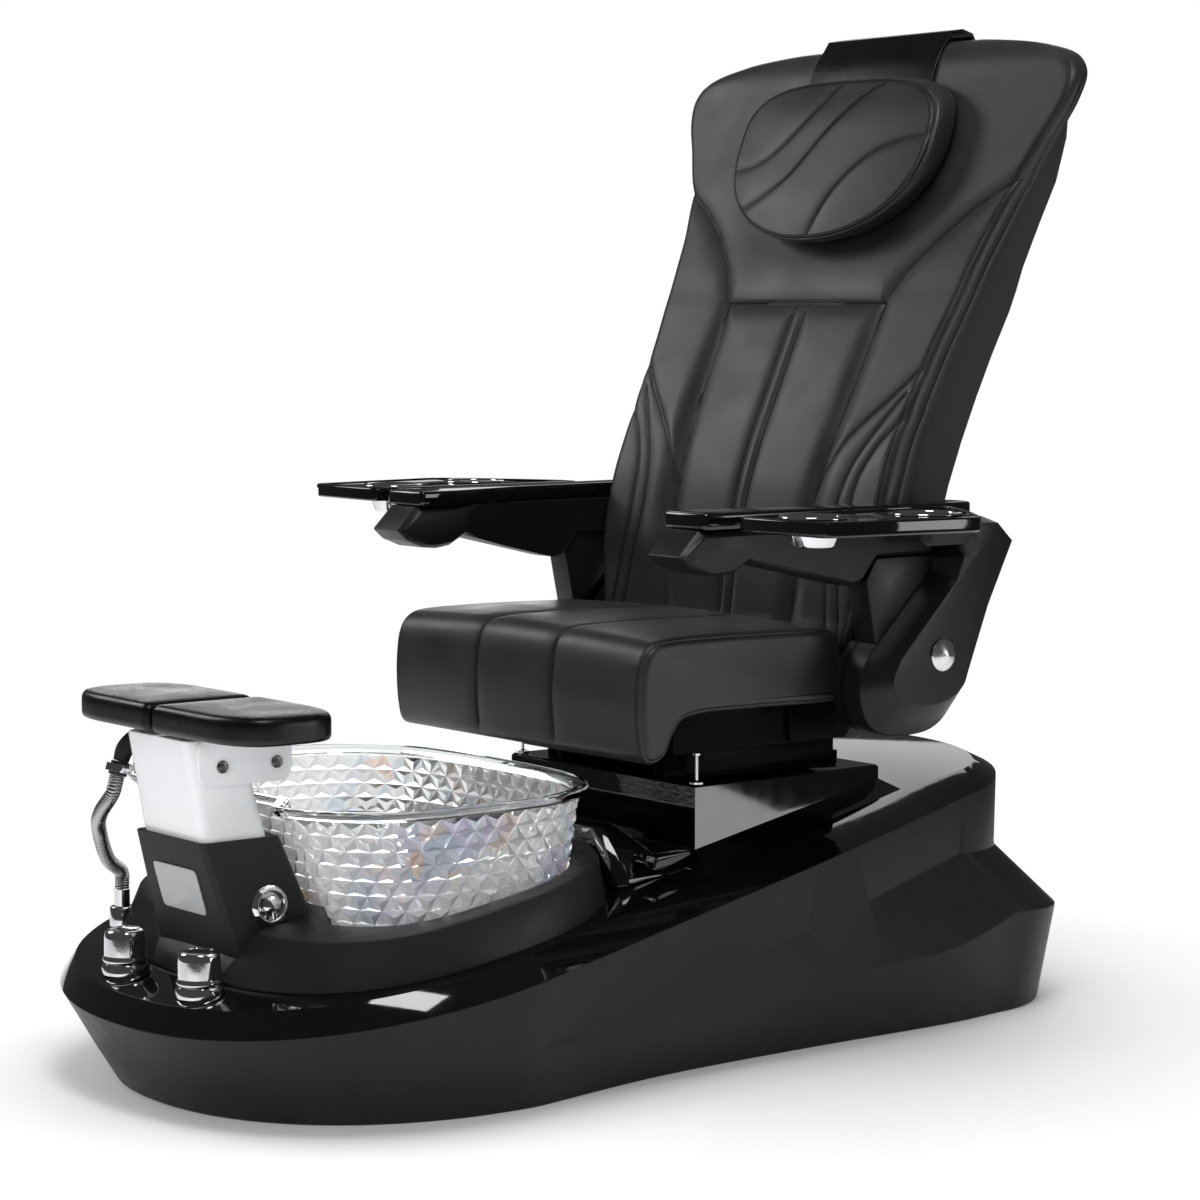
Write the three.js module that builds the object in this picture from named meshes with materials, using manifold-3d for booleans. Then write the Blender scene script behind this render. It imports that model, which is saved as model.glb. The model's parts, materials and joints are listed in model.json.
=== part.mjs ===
// Pedicure spa chair, in millimetres. +Z is up, the sitter faces -Y and the origin is on the floor
// under the middle of the chair. Stations along the chair are distances from the tip of the nose.
import * as THREE from "three";
import { mergeVertices } from "three/addons/utils/BufferGeometryUtils.js";
import Module from "manifold-3d";

const wasm = await Module();
wasm.setup();

// ---------------------------------------------------------------- driving dimensions

const clearance = { rest: 0.3, slide: 1, shaft: 0.05, moving: 3 };

const base = {
  length: 1488,
  width: 802,
  wall: 9,
  floor: 12,
  beltFrontHeight: 111,
  beltSlope: 0.18,
  deckFrontHeight: 141,
  deckSlope: 0.17,
};

const bowl = {
  noseToFront: 133,
  depth: 473,
  halfWidth: 303,
  rimHeight: 391,
  floorHeight: 122,
  wall: 7,
  rimWidth: 12,
  rimThickness: 15,
  notchDepth: 56,
  facetColumns: 56,
  facetRows: 8,
  facetHeight: 19.6,
  facetRelief: 4,
  drainRadius: 22,
};

const collar = { height: 57, topWidth: 42, flare: 21, frontWidth: 17, footWidth: 57 };

const column = {
  noseToFront: 83,
  topHalfWidth: 83,
  footHalfWidth: 99,
  depth: 118,
  topHeight: 338,
  frontLean: 0.283,
  rearLean: 0.4,
  wall: 5,
};

const footrest = {
  padTop: 508,
  padThickness: 35,
  padReach: 222,
  padGap: 11,
  padDepth: 162,
  noseToPads: 57,
  plate: 5,
  travel: 50,
  boltRadius: 5,
};

const knob = { offset: 92, noseTo: 73, radius: 27, height: 57 };

const hose = { radius: 10, bore: 7, ribs: 38, ringPoints: 8, ribDepth: 1.2 };

const plinth = {
  noseTo: 778,
  halfWidth: 208,
  depth: 335,
  topHeight: 364,
  sideBottom: 277,
  sideSlope: 0.2,
  skirtFront: 110,
};

const slide = { railHeight: 14, railWidth: 34, railGauge: 240, travel: 100 };

const seat = {
  noseTo: 628,
  halfWidth: 283,
  depth: 350,
  top: 574,
  underside: 472,
  lipBottom: 412,
  lipDepth: 62,
  seamOffset: 86,
};

const pivot = { noseTo: 1058, height: 538, radius: 20, sides: 24 };

const back = {
  bottom: 577,
  channelHalfWidth: 150,
  yokeHeight: 1010,
  shellWall: 14,
};

const pillow = { halfWidth: 214, bottom: 1099, height: 237, thickness: 62, strapHalfWidth: 133 };

const arm = {
  inner: 312,
  discInner: 300,
  outer: 392,
  slabTop: 742,
  slabThickness: 22,
  noseToSlab: 668,
  coverInner: 276,
  coverOuter: 356,
  capRadius: 22,
};

const tray = { top: 741, thickness: 19.5, ringRadius: 45, cupRadius: 28, cupDepth: 39, pinRadius: 6 };

// ---------------------------------------------------------------- finishes

const finish = (color, roughness, metalness) =>
  () => new THREE.MeshStandardMaterial({ color, roughness, metalness });

const satinShell = finish(0x2a2b2d, 0.45, 0);
const glossBlack = finish(0x0a0a0c, 0.08, 0);
const mattBlack = finish(0x1b1b1d, 0.6, 0);
const steelBlack = finish(0x151517, 0.5, 0.4);
const leather = finish(0x1c1c1e, 0.5, 0);
const clearGlass = finish(0xdfe9ee, 0.05, 0);
const chrome = finish(0xd8dadd, 0.12, 1);
const whiteGloss = finish(0xf2f3f4, 0.2, 0);
const panelGrey = finish(0xb4b6b8, 0.4, 0);

// ---------------------------------------------------------------- shape helpers

const nose = -base.length / 2;
const station = (distance) => nose + distance;
const lerp = THREE.MathUtils.lerp;
const vec = (x, y, z) => new THREE.Vector3(x, y, z);
const degrees = (angle) => (angle * Math.PI) / 180;

/** The geometry as a closed solid that can be joined and cut. */
function toSolid(geometry) {
  const bare = geometry.index ? geometry.toNonIndexed() : geometry.clone();
  bare.deleteAttribute("normal");
  bare.deleteAttribute("uv");
  const merged = mergeVertices(bare, 1e-3);
  return new wasm.Manifold(
    new wasm.Mesh({
      numProp: 3,
      vertProperties: merged.attributes.position.array,
      triVerts: merged.index.array,
    }),
  );
}

function toGeometry(solid) {
  const made = solid.getMesh();
  const points = new Float32Array(made.numVert * 3);
  for (let i = 0; i < made.numVert; i++) {
    points.set(made.vertProperties.subarray(i * made.numProp, i * made.numProp + 3), i * 3);
  }
  return new THREE.BufferGeometry()
    .setAttribute("position", new THREE.BufferAttribute(points, 3))
    .setIndex(new THREE.BufferAttribute(made.triVerts, 1));
}

function cut(body, ...tools) {
  return toGeometry(tools.reduce((rest, tool) => rest.subtract(toSolid(tool)), toSolid(body)));
}

function join(...bodies) {
  return toGeometry(bodies.map(toSolid).reduce((sum, next) => sum.add(next)));
}

/** A closed skin through rings of as many points each, capped with a fan at both ends. */
function loft(rings) {
  const count = rings[0].length;
  const points = rings.flat();
  const faces = [];
  for (let ring = 0; ring + 1 < rings.length; ring++) {
    for (let i = 0; i < count; i++) {
      const a = ring * count + i;
      const b = ring * count + ((i + 1) % count);
      faces.push(a, b, a + count, b, b + count, a + count);
    }
  }
  [0, rings.length - 1].forEach((ring, end) => {
    const middle = rings[ring].reduce((sum, p) => sum.add(p), vec(0, 0, 0)).divideScalar(count);
    points.push(middle);
    for (let i = 0; i < count; i++) {
      const a = ring * count + i;
      const b = ring * count + ((i + 1) % count);
      faces.push(points.length - 1, ...(end ? [a, b] : [b, a]));
    }
  });
  const made = new THREE.BufferGeometry().setFromPoints(points);
  made.setIndex(faces);
  return made;
}

/** A revolved solid about +Z from [radius, height] pairs that start and end on the axis. */
function revolve(profile, segments = 32) {
  const points = profile.map(([radius, height]) => new THREE.Vector2(radius, height));
  return new THREE.LatheGeometry(points, segments).rotateX(Math.PI / 2);
}

function disc(radius, bottom, top, segments = 32) {
  return revolve([[0, bottom], [radius, bottom], [radius, top], [0, top]], segments);
}

/** A hole round a shaft of the same number of sides that turns in it without touching. */
function bore(radius, bottom, top, segments = 32) {
  return disc((radius + clearance.shaft) / Math.cos(Math.PI / segments), bottom, top, segments);
}

function roundedShape(corners, radius = 0) {
  const shape = new THREE.Shape();
  corners.forEach(([x, y], i) => {
    const here = new THREE.Vector2(x, y);
    const before = new THREE.Vector2(...corners.at(i - 1)).sub(here);
    const after = new THREE.Vector2(...corners[(i + 1) % corners.length]).sub(here);
    const reach = Math.min(radius, before.length() / 2.2, after.length() / 2.2);
    const start = here.clone().addScaledVector(before.normalize(), reach);
    const end = here.clone().addScaledVector(after.normalize(), reach);
    if (i === 0) shape.moveTo(start.x, start.y);
    else shape.lineTo(start.x, start.y);
    if (reach > 0) shape.quadraticCurveTo(x, y, end.x, end.y);
  });
  return shape;
}

/** A plate of the shape, from one height to another, with its edges bevelled by the bevel. */
function plate(shape, bottom, top, bevel = 0, curveSegments = 4, bevelSegments = 1) {
  return new THREE.ExtrudeGeometry(shape, {
    depth: top - bottom - 2 * bevel,
    bevelEnabled: bevel > 0,
    bevelThickness: bevel,
    bevelSize: bevel,
    bevelOffset: -bevel,
    bevelSegments,
    curveSegments,
  }).translate(0, 0, bottom + bevel);
}

/** A plate whose shape lies in the side view, (y, z), and whose thickness runs along X. */
function sidePlate(shape, inner, outer, bevel = 0, curveSegments = 4) {
  const turn = new THREE.Matrix4().makeBasis(vec(0, 1, 0), vec(0, 0, 1), vec(1, 0, 0));
  return plate(shape, inner, outer, bevel, curveSegments).applyMatrix4(turn);
}

function box(x0, x1, y0, y1, z0, z1) {
  return new THREE.BoxGeometry(x1 - x0, y1 - y0, z1 - z0)
    .translate((x0 + x1) / 2, (y0 + y1) / 2, (z0 + z1) / 2);
}

/** The solid turned so that its +Z points along the direction, and moved to the place. */
function aim(geometry, direction, place) {
  const turn = new THREE.Quaternion().setFromUnitVectors(vec(0, 0, 1), direction.clone().normalize());
  return geometry.applyQuaternion(turn).translate(place.x, place.y, place.z);
}

/** The solid's reflection in the plane X = 0, with its faces turned outwards again. */
function mirrored(geometry) {
  const other = (geometry.index ? geometry.toNonIndexed() : geometry.clone()).scale(-1, 1, 1);
  const corners = other.attributes.position;
  for (let i = 0; i < corners.count; i += 3) {
    const [x, y, z] = [corners.getX(i), corners.getY(i), corners.getZ(i)];
    corners.setXYZ(i, corners.getX(i + 1), corners.getY(i + 1), corners.getZ(i + 1));
    corners.setXYZ(i + 1, x, y, z);
  }
  return other;
}

const onSide = (geometry, side) => (side > 0 ? geometry : mirrored(geometry));

function piece(name, geometry, material) {
  const made = new THREE.Mesh(geometry, material());
  made.name = name;
  return made;
}

function assembly(name, ...pieces) {
  const group = new THREE.Group();
  group.name = name;
  group.add(...pieces);
  return group;
}

/** A quarter of a superellipse from its end on the axis to its widest point, or back. */
function superQuarter(halfWidth, reach, power, steps) {
  return Array.from({ length: steps + 1 }, (_, i) => {
    const angle = (Math.PI / 2) * (1 - i / steps);
    return [halfWidth * Math.cos(angle) ** (2 / power), reach * Math.sin(angle) ** (2 / power)];
  });
}

/** The closed line through the points, cut into equal lengths, shifted by a share of one. */
function evenly(points, count, phase = 0) {
  const lengths = [0];
  points.forEach((p, i) => lengths.push(lengths[i] + p.distanceTo(points[(i + 1) % points.length])));
  const total = lengths.at(-1);
  return Array.from({ length: count }, (_, i) => {
    const reach = (total * (i + phase)) / count;
    const k = Math.max(0, lengths.findIndex((l) => l > reach) - 1);
    const share = (reach - lengths[k]) / (lengths[k + 1] - lengths[k]);
    return points[k].clone().lerp(points[(k + 1) % points.length], share);
  });
}

// ---------------------------------------------------------------- base

const beltHeight = (y) => base.beltFrontHeight + base.beltSlope * (y - nose);
const deckHeight = (y) => base.deckFrontHeight + base.deckSlope * (y - nose);
const halfBelt = base.width / 2;
const baseSteps = { nose: 8, side: 6, tail: 6 };

/**
 * One closed outline of the base. Insets are measured in from the widest belt line, the nose and
 * tail ends from the tip and from the rear of the base, and side knots are [share, inset, height].
 */
function baseOutline({ noseEnd, tailEnd, power, noseReach, noseInset, side, tailReach, tailInset, heights }) {
  const noseCentre = station(noseEnd + noseReach);
  const tailCentre = -nose - tailEnd - tailReach;
  const front = superQuarter(halfBelt - noseInset, noseReach, power, baseSteps.nose)
    .map(([x, y]) => vec(x, noseCentre - y, heights[0]));
  const knots = side.map(([share, inset, height]) =>
    vec(halfBelt - inset, lerp(noseCentre, tailCentre, share), height ?? heights[0]));
  const tail = superQuarter(halfBelt - tailInset, tailReach, power, baseSteps.tail)
    .map(([x, y], i) => vec(x, tailCentre + y, lerp(heights[2], heights[1], i / baseSteps.tail)))
    .reverse();
  const curve = new THREE.CatmullRomCurve3([front.at(-1), ...knots, tail[0]], false, "centripetal");
  const half = [...front, ...curve.getPoints(baseSteps.side).slice(1, -1), ...tail];
  const other = half.slice(1, -1).reverse().map((p) => vec(-p.x, p.y, p.z));
  return [...half, ...other];
}

const flat = (points, heightOf) => points.map((p) => vec(p.x, p.y, heightOf(p.y)));

/** The outline drawn in towards its middle line by a distance. */
function drawnIn(points, distance) {
  const count = points.length;
  return points.map((p, i) => {
    const along = points[(i + 1) % count].clone().sub(points.at(i - 1));
    const inward = vec(-along.y, along.x, 0).normalize();
    return vec(p.x + inward.x * distance, p.y + inward.y * distance, p.z);
  });
}

const groundLine = baseOutline({
  noseEnd: 58, tailEnd: 6, power: 2.2, noseReach: 368, noseInset: 76, tailReach: 200, tailInset: 113,
  side: [[0.26, 108], [0.55, 112], [0.89, 104]], heights: [0, 0, 0],
});
const beltLine = baseOutline({
  noseEnd: 0, tailEnd: 122, power: 2.25, noseReach: 378, noseInset: 0, tailReach: 182, tailInset: 93,
  side: [[0.12, 9], [0.34, 26], [0.57, 43], [0.72, 58], [0.93, 83]], heights: [0, 0, 0],
});
const deckLine = baseOutline({
  noseEnd: 18, tailEnd: 148, power: 2.3, noseReach: 353, noseInset: 32, tailReach: 126, tailInset: 148,
  side: [[0.16, 52], [0.39, 83], [0.59, 125], [0.8, 149]], heights: [0, 0, 0],
});

/** A line along the wall whose sides and tail step out into the ledge above the lower body. */
function ledgeLine(share, settings) {
  const free = baseOutline({ noseEnd: 30, power: 2.3, noseReach: 372, noseInset: 43, ...settings });
  const belt = flat(beltLine, beltHeight);
  const last = baseSteps.nose;
  return free.map((p, i) => {
    const onNose = i <= last || i >= free.length - last;
    return onNose ? groundLine[i].clone().lerp(belt[i], share) : p;
  });
}

const ledgeOuter = ledgeLine(0.42, {
  tailEnd: 0, tailReach: 204, tailInset: 83,
  side: [[0.07, 50, 82], [0.31, 54, 98], [0.63, 58, 109], [0.84, 64, 118]], heights: [80, 150, 131],
});
const ledgeInner = ledgeLine(0.46, {
  tailEnd: 114, tailReach: 190, tailInset: 104,
  side: [[0.08, 53, 92], [0.35, 60, 134], [0.7, 74, 191], [0.88, 93, 220]], heights: [88, 240, 232],
});

/** Satin lower body: an open tub with a tapered nose and a wedge-shaped ledge along each side. */
function makeBaseShell() {
  const belt = flat(beltLine, (y) => beltHeight(y) - clearance.rest);
  const outside = loft([groundLine, ledgeOuter, ledgeInner, belt]);
  const well = (line, height) => drawnIn(line, base.wall + 5).map((p) => vec(p.x, p.y, height(p)));
  const inside = loft([
    well(groundLine, () => base.floor),
    well(ledgeInner, (p) => p.z),
    well(beltLine, (p) => beltHeight(p.y) + 40),
  ]);
  return cut(outside, inside, inletPocket());
}

/** Glossy deck: a slab from the belt line up a broad chamfer to the sloping top. */
function makeBaseDeck(opening) {
  const slab = loft([flat(beltLine, beltHeight), flat(deckLine, deckHeight)]);
  return cut(slab, opening);
}

// ---------------------------------------------------------------- glass bowl and its collar

const columnFront = (z) => station(column.noseToFront) + column.frontLean * (column.topHeight - z);
const columnRear = (z) =>
  station(column.noseToFront) + column.depth + column.rearLean * (column.topHeight - z);
const columnHalf = (z) => {
  const foot = deckHeight(columnFront(0));
  return lerp(column.topHalfWidth, column.footHalfWidth, (column.topHeight - z) / (column.topHeight - foot));
};

const rimFront = station(bowl.noseToFront);
const rimRear = rimFront + bowl.depth;
const smooth = THREE.MathUtils.smoothstep;

/** The bowl's outside at a height: a blunt front notched round the column, and a rounder rear. */
function bowlLine(z, grow = 0, rounded = true, steps = 24) {
  const drop = (bowl.rimHeight - z) / 150;
  const round = rounded ? Math.max(0, 1 - (z - bowl.floorHeight) / 60) : 0;
  const halfWidth = bowl.halfWidth - 24 * drop - 26 * round + grow;
  const front = rimFront + 74 * drop + 14 * round - grow;
  const rear = rimRear - 22 * drop - 26 * round + grow;
  const middle = lerp(front, rear, 0.45);
  const notch = (x) => bowl.notchDepth * (1 - smooth(Math.abs(x), 96, 175));
  const ahead = superQuarter(halfWidth, middle - front, 3, steps)
    .map(([x, y]) => vec(x, middle - y + notch(x), z));
  const behind = superQuarter(halfWidth, rear - middle, 3.1, steps)
    .map(([x, y]) => vec(x, middle + y, z)).reverse();
  const half = [...ahead, ...behind.slice(1)];
  return [...half, ...half.slice(1, -1).reverse().map((p) => vec(-p.x, p.y, z))];
}

/** Clear bowl: a rolled rim over rows of alternate pyramids, which stand out from a plain wall. */
function makeBowl() {
  const count = bowl.facetColumns;
  const rimUnder = bowl.rimHeight - bowl.rimThickness;
  const lowest = rimUnder - bowl.facetRows * bowl.facetHeight;
  const ringAt = (z, grow, phase = 0) => evenly(bowlLine(z, grow), count, phase);
  const rings = [ringAt(bowl.floorHeight, -14), ringAt(bowl.floorHeight + 12, 0)];
  const firstRow = rings.length;
  for (let row = 0; row <= bowl.facetRows; row++) {
    rings.push(ringAt(lowest + row * bowl.facetHeight, 0, (row % 2) / 2));
  }
  rings.push(
    ringAt(rimUnder + 5, bowl.rimWidth),
    ringAt(bowl.rimHeight - 2, bowl.rimWidth),
    ringAt(bowl.rimHeight, bowl.rimWidth - 3),
    ringAt(bowl.rimHeight - 2, -bowl.wall + 2),
    ringAt(bowl.floorHeight + 60, -bowl.wall),
    ringAt(bowl.floorHeight + 22, -bowl.wall - 4),
    ringAt(bowl.floorHeight + 10, -bowl.wall - 22),
  );
  const lastRow = firstRow + bowl.facetRows;
  const points = rings.flat();
  const faces = [];
  const pyramid = (a, b, c) => {
    const [pa, pb, pc] = [points[a], points[b], points[c]];
    const outward = pb.clone().sub(pa).cross(pc.clone().sub(pa)).normalize();
    const apex = pa.clone().add(pb).add(pc).divideScalar(3).addScaledVector(outward, bowl.facetRelief);
    points.push(apex);
    const tip = points.length - 1;
    faces.push(a, b, tip, b, c, tip, c, a, tip);
  };
  for (let ring = 0; ring + 1 < rings.length; ring++) {
    const faceted = ring >= firstRow && ring < lastRow;
    const shifted = faceted && (ring - firstRow) % 2 === 1;
    for (let i = 0; i < count; i++) {
      const next = (i + 1) % count;
      const a = ring * count + i;
      const b = ring * count + next;
      const c = (ring + 1) * count + i;
      const d = (ring + 1) * count + next;
      if (!faceted) faces.push(a, b, c, b, d, c);
      else if (shifted) {
        pyramid(a, b, d);
        pyramid(a, d, c);
      } else {
        pyramid(a, b, c);
        pyramid(b, d, c);
      }
    }
  }
  [0, rings.length - 1].forEach((ring, end) => {
    const middle = rings[ring].reduce((sum, p) => sum.add(p), vec(0, 0, 0)).divideScalar(count);
    points.push(middle);
    for (let i = 0; i < count; i++) {
      const a = ring * count + i;
      const b = ring * count + ((i + 1) % count);
      faces.push(points.length - 1, ...(end ? [a, b] : [b, a]));
    }
  });
  const glass = new THREE.BufferGeometry().setFromPoints(points);
  glass.setIndex(faces);
  const drain = disc(bowl.drainRadius + clearance.rest, 0, bowl.floorHeight + 80, 12);
  return cut(glass, drain.translate(0, drainStation, 0));
}

const drainStation = lerp(rimFront, rimRear, 0.56);

/** Drain: a flanged strainer cup in the bowl's floor, with its tail pipe below. */
function makeDrain() {
  const floorTop = bowl.floorHeight + 10;
  return revolve([
    [0, 40], [16, 40], [16, 104], [bowl.drainRadius, 108], [bowl.drainRadius, floorTop + 1],
    [33, floorTop + 1], [33, floorTop + 4], [18, floorTop + 4], [15, floorTop - 8], [0, floorTop - 8],
  ], 12).translate(0, drainStation, 0);
}

/** The bowl's close passage through its collar, clear of the tips of its facets. */
function bowlPassage() {
  const ringAt = (z) => bowlLine(z, bowl.facetRelief + 11 * clearance.rest, false, 15);
  return loft([ringAt(120), ringAt(230), ringAt(bowl.rimHeight - bowl.rimThickness - 1)]);
}

/** A wider passage of few sides, through the pieces that don't hold the bowl. */
function widePassage() {
  const ringAt = (z) => evenly(bowlLine(z, bowl.facetRelief + 6, false), 40);
  return loft([ringAt(60), ringAt(bowl.rimHeight - bowl.rimThickness - 1)]);
}

/** The leaning column's solid, with bevelled corners, running on below the deck. */
function columnSolid(grow) {
  const bottom = deckHeight(station(column.noseToFront)) - 60;
  const ringAt = (z) => {
    const half = columnHalf(z) + grow;
    const front = columnFront(z) - grow;
    const rear = columnRear(z) + grow;
    const corner = 7;
    return [
      vec(-half + corner, front, z), vec(half - corner, front, z), vec(half, front + corner, z),
      vec(half, rear - corner, z), vec(half - corner, rear, z), vec(-half + corner, rear, z),
      vec(-half, rear - corner, z), vec(-half, front + corner, z),
    ];
  };
  return loft([ringAt(bottom), ringAt(column.topHeight)]);
}

/** Everything below the sloping deck, which trims what stands on it. */
function underDeck() {
  const half = base.width;
  const corners = (heightOf) => [[-half, nose], [half, nose], [half, -nose], [-half, -nose]]
    .map(([x, y]) => vec(x, y, heightOf(y)));
  return loft([corners(() => -100), corners((y) => deckHeight(y) + clearance.rest)]);
}

/** The collar's outline at a rise over the deck, where a flare of 1 is its foot and 0 its top. */
function collarLine(flare, rise, inset = 0) {
  const level = bowl.rimHeight - 140;
  const middle = lerp(rimFront, rimRear, 0.5);
  const seat = bowlLine(level);
  const halfWidth = Math.max(...seat.map((p) => p.x)) + collar.topWidth + collar.flare * flare - inset;
  const front = Math.min(...seat.map((p) => p.y)) - bowl.notchDepth
    - lerp(collar.frontWidth, collar.footWidth, flare) + inset;
  const rear = Math.max(...seat.map((p) => p.y)) + collar.topWidth + collar.flare * flare - inset;
  const power = lerp(3, 2.6, flare);
  const ahead = superQuarter(halfWidth, middle - front, power, 9).map(([x, y]) => [x, middle - y]);
  const behind = superQuarter(halfWidth, rear - middle, power, 6).map(([x, y]) => [x, middle + y]).reverse();
  const half = [...ahead, ...behind.slice(1)];
  const whole = [...half, ...half.slice(1, -1).reverse().map(([x, y]) => [-x, y])];
  return whole.map(([x, y]) => vec(x, y, deckHeight(y) + rise));
}

/** Satin collar: a flared flange from the deck up to the glass, open where the column stands. */
function makeCollar() {
  const outside = loft([
    collarLine(1, -20), collarLine(1, 4), collarLine(0.04, collar.height - 2), collarLine(0, collar.height, 3),
  ]);
  const outletRoom = disc(outlet.radius + clearance.rest, 0, bowl.rimHeight, 20)
    .translate(outlet.x, outletY, 0);
  const bezelRoom = aim(disc(control.radius + 1, -1, 30, 20), sideNormal, controlPlace);
  return cut(outside, bowlPassage(), underDeck(), columnSolid(clearance.rest),
    drainHousingSolid(clearance.rest), outletRoom, bezelRoom);
}

// ---------------------------------------------------------------- drain housing and lever

const housing = { noseTo: 611, depth: 104, halfWidth: 258, topHalfWidth: 196, height: 76 };

/** Glossy faceted housing across the rear of the bowl. */
function drainHousingSolid(grow = 0) {
  const front = station(housing.noseTo) - grow;
  const rear = front + housing.depth + 2 * grow;
  const foot = deckHeight(front) - 30;
  const crest = deckHeight(front) + housing.height + grow;
  const ringAt = (half, y0, y1, z, corner) => [
    vec(-half + corner, y0, z), vec(half - corner, y0, z), vec(half, y0 + corner, z),
    vec(half, y1 - corner, z), vec(half - corner, y1, z), vec(-half + corner, y1, z),
    vec(-half, y1 - corner, z), vec(-half, y0 + corner, z),
  ];
  const half = housing.halfWidth + grow;
  const narrow = housing.topHalfWidth + grow;
  return loft([
    ringAt(half, front, rear, foot, 12),
    ringAt(half - 4, front, rear, foot + 44, 16),
    ringAt(lerp(half, narrow, 0.45), front, rear - 22, crest - 32, 16),
    ringAt(narrow, front + 6, rear - 56, crest, 14),
  ]);
}

const leverPlace = vec(228, station(housing.noseTo + 44), deckHeight(station(housing.noseTo)) + 34);

function makeDrainHousing() {
  const socket = aim(bore(6, -14, 60, 16), vec(1, 0, 0), leverPlace);
  return cut(drainHousingSolid(), underDeck(), widePassage(), socket);
}

/** Drain lever: a spindle in the end of the housing with a flat paddle handle. */
function makeDrainLever() {
  const spindle = aim(disc(6, -12, 36, 16), vec(1, 0, 0), leverPlace);
  const reach = 56;
  const handle = roundedShape([[-9, -8], [9, -8], [reach, 6], [reach, 14], [-4, 11]], 5);
  const paddle = sidePlate(handle, 0, 22, 2, 2);
  paddle.translate(leverPlace.x + 32, leverPlace.y, leverPlace.z);
  return join(spindle, paddle);
}

/** Whirlpool pump on the tub's floor under the bowl: a motor can on a square foot. */
function makePump() {
  const place = vec(-60, station(420), base.floor + clearance.rest);
  const foot = box(-55, 55, -55, 55, 0, 8);
  const can = revolve([[0, 8], [46, 8], [48, 12], [48, 62], [44, 68], [18, 70], [18, 78], [0, 78]], 12);
  return join(foot, can).translate(place.x, place.y, place.z);
}

// ---------------------------------------------------------------- front column and its fittings

/** Matt lower cover: a leaning sleeve for the footrest post. */
function makeColumnCover() {
  const sleeve = postSleeve(clearance.slide, -110, 40);
  return cut(columnSolid(0), underDeck(), sleeve, aim(disc(17, -30, 20, 20), sideNormal, controlPlace));
}

const postAxis = vec(0, -column.frontLean, 1).normalize();
const postSection = { halfWidth: 76, front: 8, depth: 96, corner: 14 };

/** The post's section swept along its leaning axis, from below to above the cover's top. */
function postSleeve(grow, below, above) {
  const shape = postOutline(grow);
  const ringAt = (rise) => shape.getPoints(4).slice(0, -1).map((p) =>
    vec(p.x, columnFront(column.topHeight) + p.y - column.frontLean * rise, column.topHeight + rise));
  return loft([ringAt(below), ringAt(above)]);
}

function postOutline(grow, trim = 0) {
  const { halfWidth, front, depth, corner } = postSection;
  const half = halfWidth + grow;
  const y0 = front - grow + trim;
  const y1 = front + depth + grow;
  return closedShape([[-half, y0], [half, y0], [half, y1], [-half, y1]], corner);
}

/** A rounded shape whose last point isn't written twice. */
function closedShape(corners, radius) {
  const shape = roundedShape(corners, radius);
  shape.closePath();
  return shape;
}

/** White post: prismatic inside the cover, then up to the footrest bracket. */
function makeFootrestPost() {
  const { plate: plateThickness, padTop, padThickness } = footrest;
  const top = padTop - padThickness - plateThickness - 2 * clearance.rest;
  const rise = top - column.topHeight;
  const ringAt = (height, trim) => postOutline(0, trim).getPoints(4).slice(0, -1).map((p) =>
    vec(p.x, columnFront(column.topHeight) + p.y - column.frontLean * height, column.topHeight + height));
  const body = loft([ringAt(-100, 0), ringAt(2, 0), ringAt(rise - 4, 12), ringAt(rise, 14)]);
  return cut(body, ...boltPlaces().map((place) => boltHole(place)));
}

const bracket = { cheek: 5, height: 45, length: 136, middle: 431, noseTo: 83 };
const cheekInner = postSection.halfWidth + clearance.rest;

function boltPlaces() {
  const rearward = [33, 113];
  return rearward.map((y) => vec(0, station(bracket.noseTo + y), bracket.middle + 2));
}

function boltHole(place) {
  return aim(disc(footrest.boltRadius + 2 * clearance.rest, -120, 120, 12), vec(1, 0, 0), place);
}

/** White bracket: a plate under the pads with a capsule-shaped cheek down each side of the post. */
function makeFootrestBracket() {
  const half = cheekInner;
  const top = footrest.padTop - footrest.padThickness - clearance.rest;
  const y0 = station(bracket.noseTo);
  const y1 = y0 + bracket.length;
  const bottom = bracket.middle - bracket.height / 2;
  const cheek = () => sidePlate(
    roundedShape([[y0, bottom], [y1, bottom], [y1, top], [y0, top]], 20), half, half + bracket.cheek);
  const sheet = plate(
    roundedShape([[-150, y0 + 14], [150, y0 + 14], [150, y1 - 10], [-150, y1 - 10]], 18),
    top - footrest.plate, top);
  const whole = join(sheet, cheek(), mirrored(cheek()));
  return cut(whole, ...boltPlaces().map((place) => boltHole(place)));
}

/** A through bolt with a domed head at each end. */
function makeBracketBolt(place) {
  const reach = cheekInner + bracket.cheek + clearance.rest;
  const radius = footrest.boltRadius;
  const bolt = revolve([
    [0, -reach - 5], [6, -reach - 4], [8, -reach], [radius, -reach], [radius, reach], [8, reach],
    [6, reach + 4], [0, reach + 5],
  ], 12);
  return aim(bolt, vec(1, 0, 0), place);
}

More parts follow.
